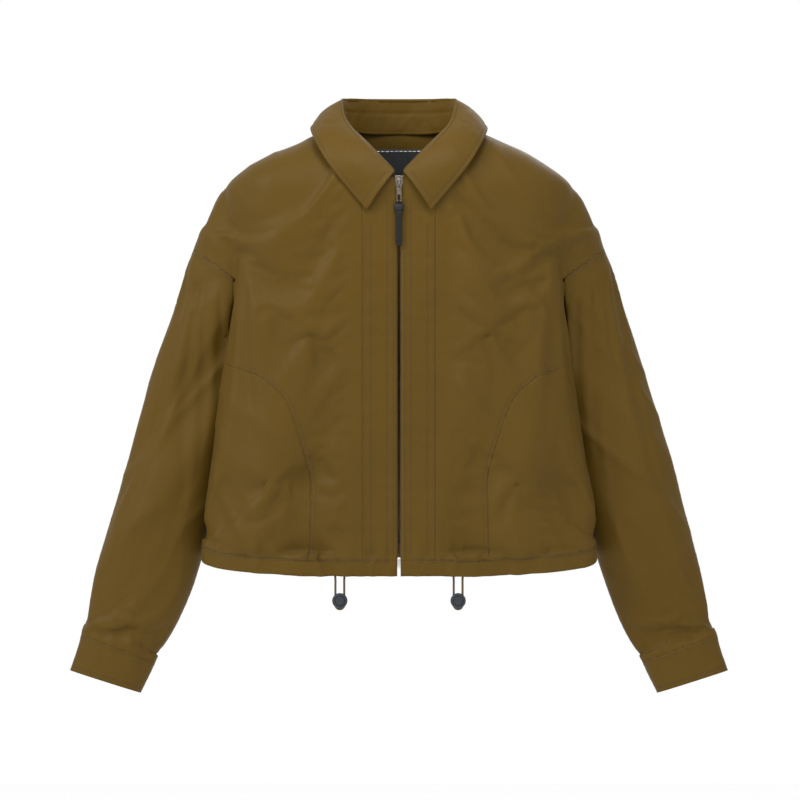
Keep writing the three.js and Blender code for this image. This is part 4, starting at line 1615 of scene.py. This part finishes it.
class JACKET_OT_stitches(bpy.types.Operator):
    """Sews the topstitching of the plackets, pockets, hem, cuffs, armholes, collar and label."""

    bl_idname = "jacket.stitches"
    bl_label = "Topstitching"

    def execute(self, context):
        heights = np.linspace(-0.088, -0.544, 170)
        lines = []
        for side in (-1, 1):
            for x in (0.0072, 0.0150, 0.0360, 0.0450):
                reach = [z for z in heights if z < -0.088 - (0.030 if x > 0.03 else 0.0)]
                lines.append(on_front([(side * x, z) for z in reach]))
        stitch_row("placket_stitches", lines, "thread_and_groove_shade", "root")
        lines = []
        for side in (-1, 1):
            seam = pocket_curve(side, 160)
            for shift in (0.0014, 0.0060):
                places = []
                for a, b in zip(seam[:-1], seam[1:]):
                    run = (b - a) / np.linalg.norm(b - a)
                    away = np.array([run[1], -run[0]]) * shift * -side
                    places.append(a + away)
                kept = [(x, z) for x, z in places if -0.545 < z < -0.296 and abs(x) < 0.200]
                lines.append(on_front(kept))
        stitch_row("pocket_stitches", lines, "thread_and_groove_shade", "root")
        lines = []
        for rise in (CHANNEL - 0.0016, CHANNEL + 0.0014):
            points = hem_points(rise, 420, 0.006)
            lines.append(near_surface("body", points))
        stitch_row("hem_stitches", lines, "thread_and_groove_shade", "root")
        for side, word in ((-1, "left"), (1, "right")):
            surface = word + "_arm"
            rings = [
                seam_ring(side, surface, CUFF_MOUTH, -0.0065),
                seam_ring(side, surface, CUFF_SEAM, 0.0030),
            ]
            stitch_row(word + "_cuff_stitches", rings, "thread_and_groove_shade", word + "_sleeve")
            rings = [seam_ring(side, surface, ARMHOLE_EDGE, shift) for shift in (0.0045, 0.0012)]
            stitch_row(word + "_armhole_stitches", rings, "thread_and_groove_shade", "root")
        rows = collar_rows()
        sewn_row = round(COLLAR_SEWN * (len(rows) - 1))
        paths = [rows[sewn_row][END_SEWN:-END_SEWN]]
        paths += [rows[5:sewn_row, END_SEWN], rows[5:sewn_row, -END_SEWN - 1]]
        lines = [near_surface("collar", path) for path in paths]
        stand_seam = np.array(matched_curve(both_ways(COLLAR_SEAM), 121))
        stand_top = np.array(matched_curve(both_ways(COLLAR_FOLD), 121))
        for share in (0.06, 0.62):
            line = stand_seam[20:-20] * (1 - share) + stand_top[20:-20] * share
            placed = near_surface("stand", line)
            lines.append([(spot, inward(spot)) for spot, _ in placed])
        stitch_row("collar_stitches", lines, "thread_and_groove_shade", "root")
        label_spots = [inside_body(x, -0.0265, 0.0050, False) for x in np.linspace(-0.049, 0.049, 60)]
        label_line = [(spot, inward(spot)) for spot in label_spots]
        stitch_row("label_stitches", [label_line], "white_thread", "root", 0.0058, 0.0038, 0.00035)
        return {"FINISHED"}


class JACKET_PT_panel(bpy.types.Panel):
    """Lists the jacket's pieces and its settings."""

    bl_label = "Jacket"
    bl_space_type = "VIEW_3D"
    bl_region_type = "UI"
    bl_category = "Jacket"

    def draw(self, context):
        settings = context.scene.jacket
        for name in settings.bl_rna.properties.keys():
            if name not in ("rna_type", "name"):
                self.layout.prop(settings, name)
        for name in STEPS:
            self.layout.operator("jacket." + name)


STEPS = ("stage", "body", "sleeves", "collar", "inside", "zip", "hem_cords", "stitches")

CLASSES = (
    JacketSettings,
    JACKET_OT_stage,
    JACKET_OT_body,
    JACKET_OT_sleeves,
    JACKET_OT_collar,
    JACKET_OT_inside,
    JACKET_OT_zip,
    JACKET_OT_hem_cords,
    JACKET_OT_stitches,
    JACKET_PT_panel,
)


def register():
    for cls in CLASSES:
        bpy.utils.register_class(cls)
    bpy.types.Scene.jacket = PointerProperty(type=JacketSettings)


def unregister():
    del bpy.types.Scene.jacket
    for cls in reversed(CLASSES):
        bpy.utils.unregister_class(cls)


def main():
    register()
    for name in STEPS:
        getattr(bpy.ops.jacket, name)()


if __name__ == "__main__":
    main()
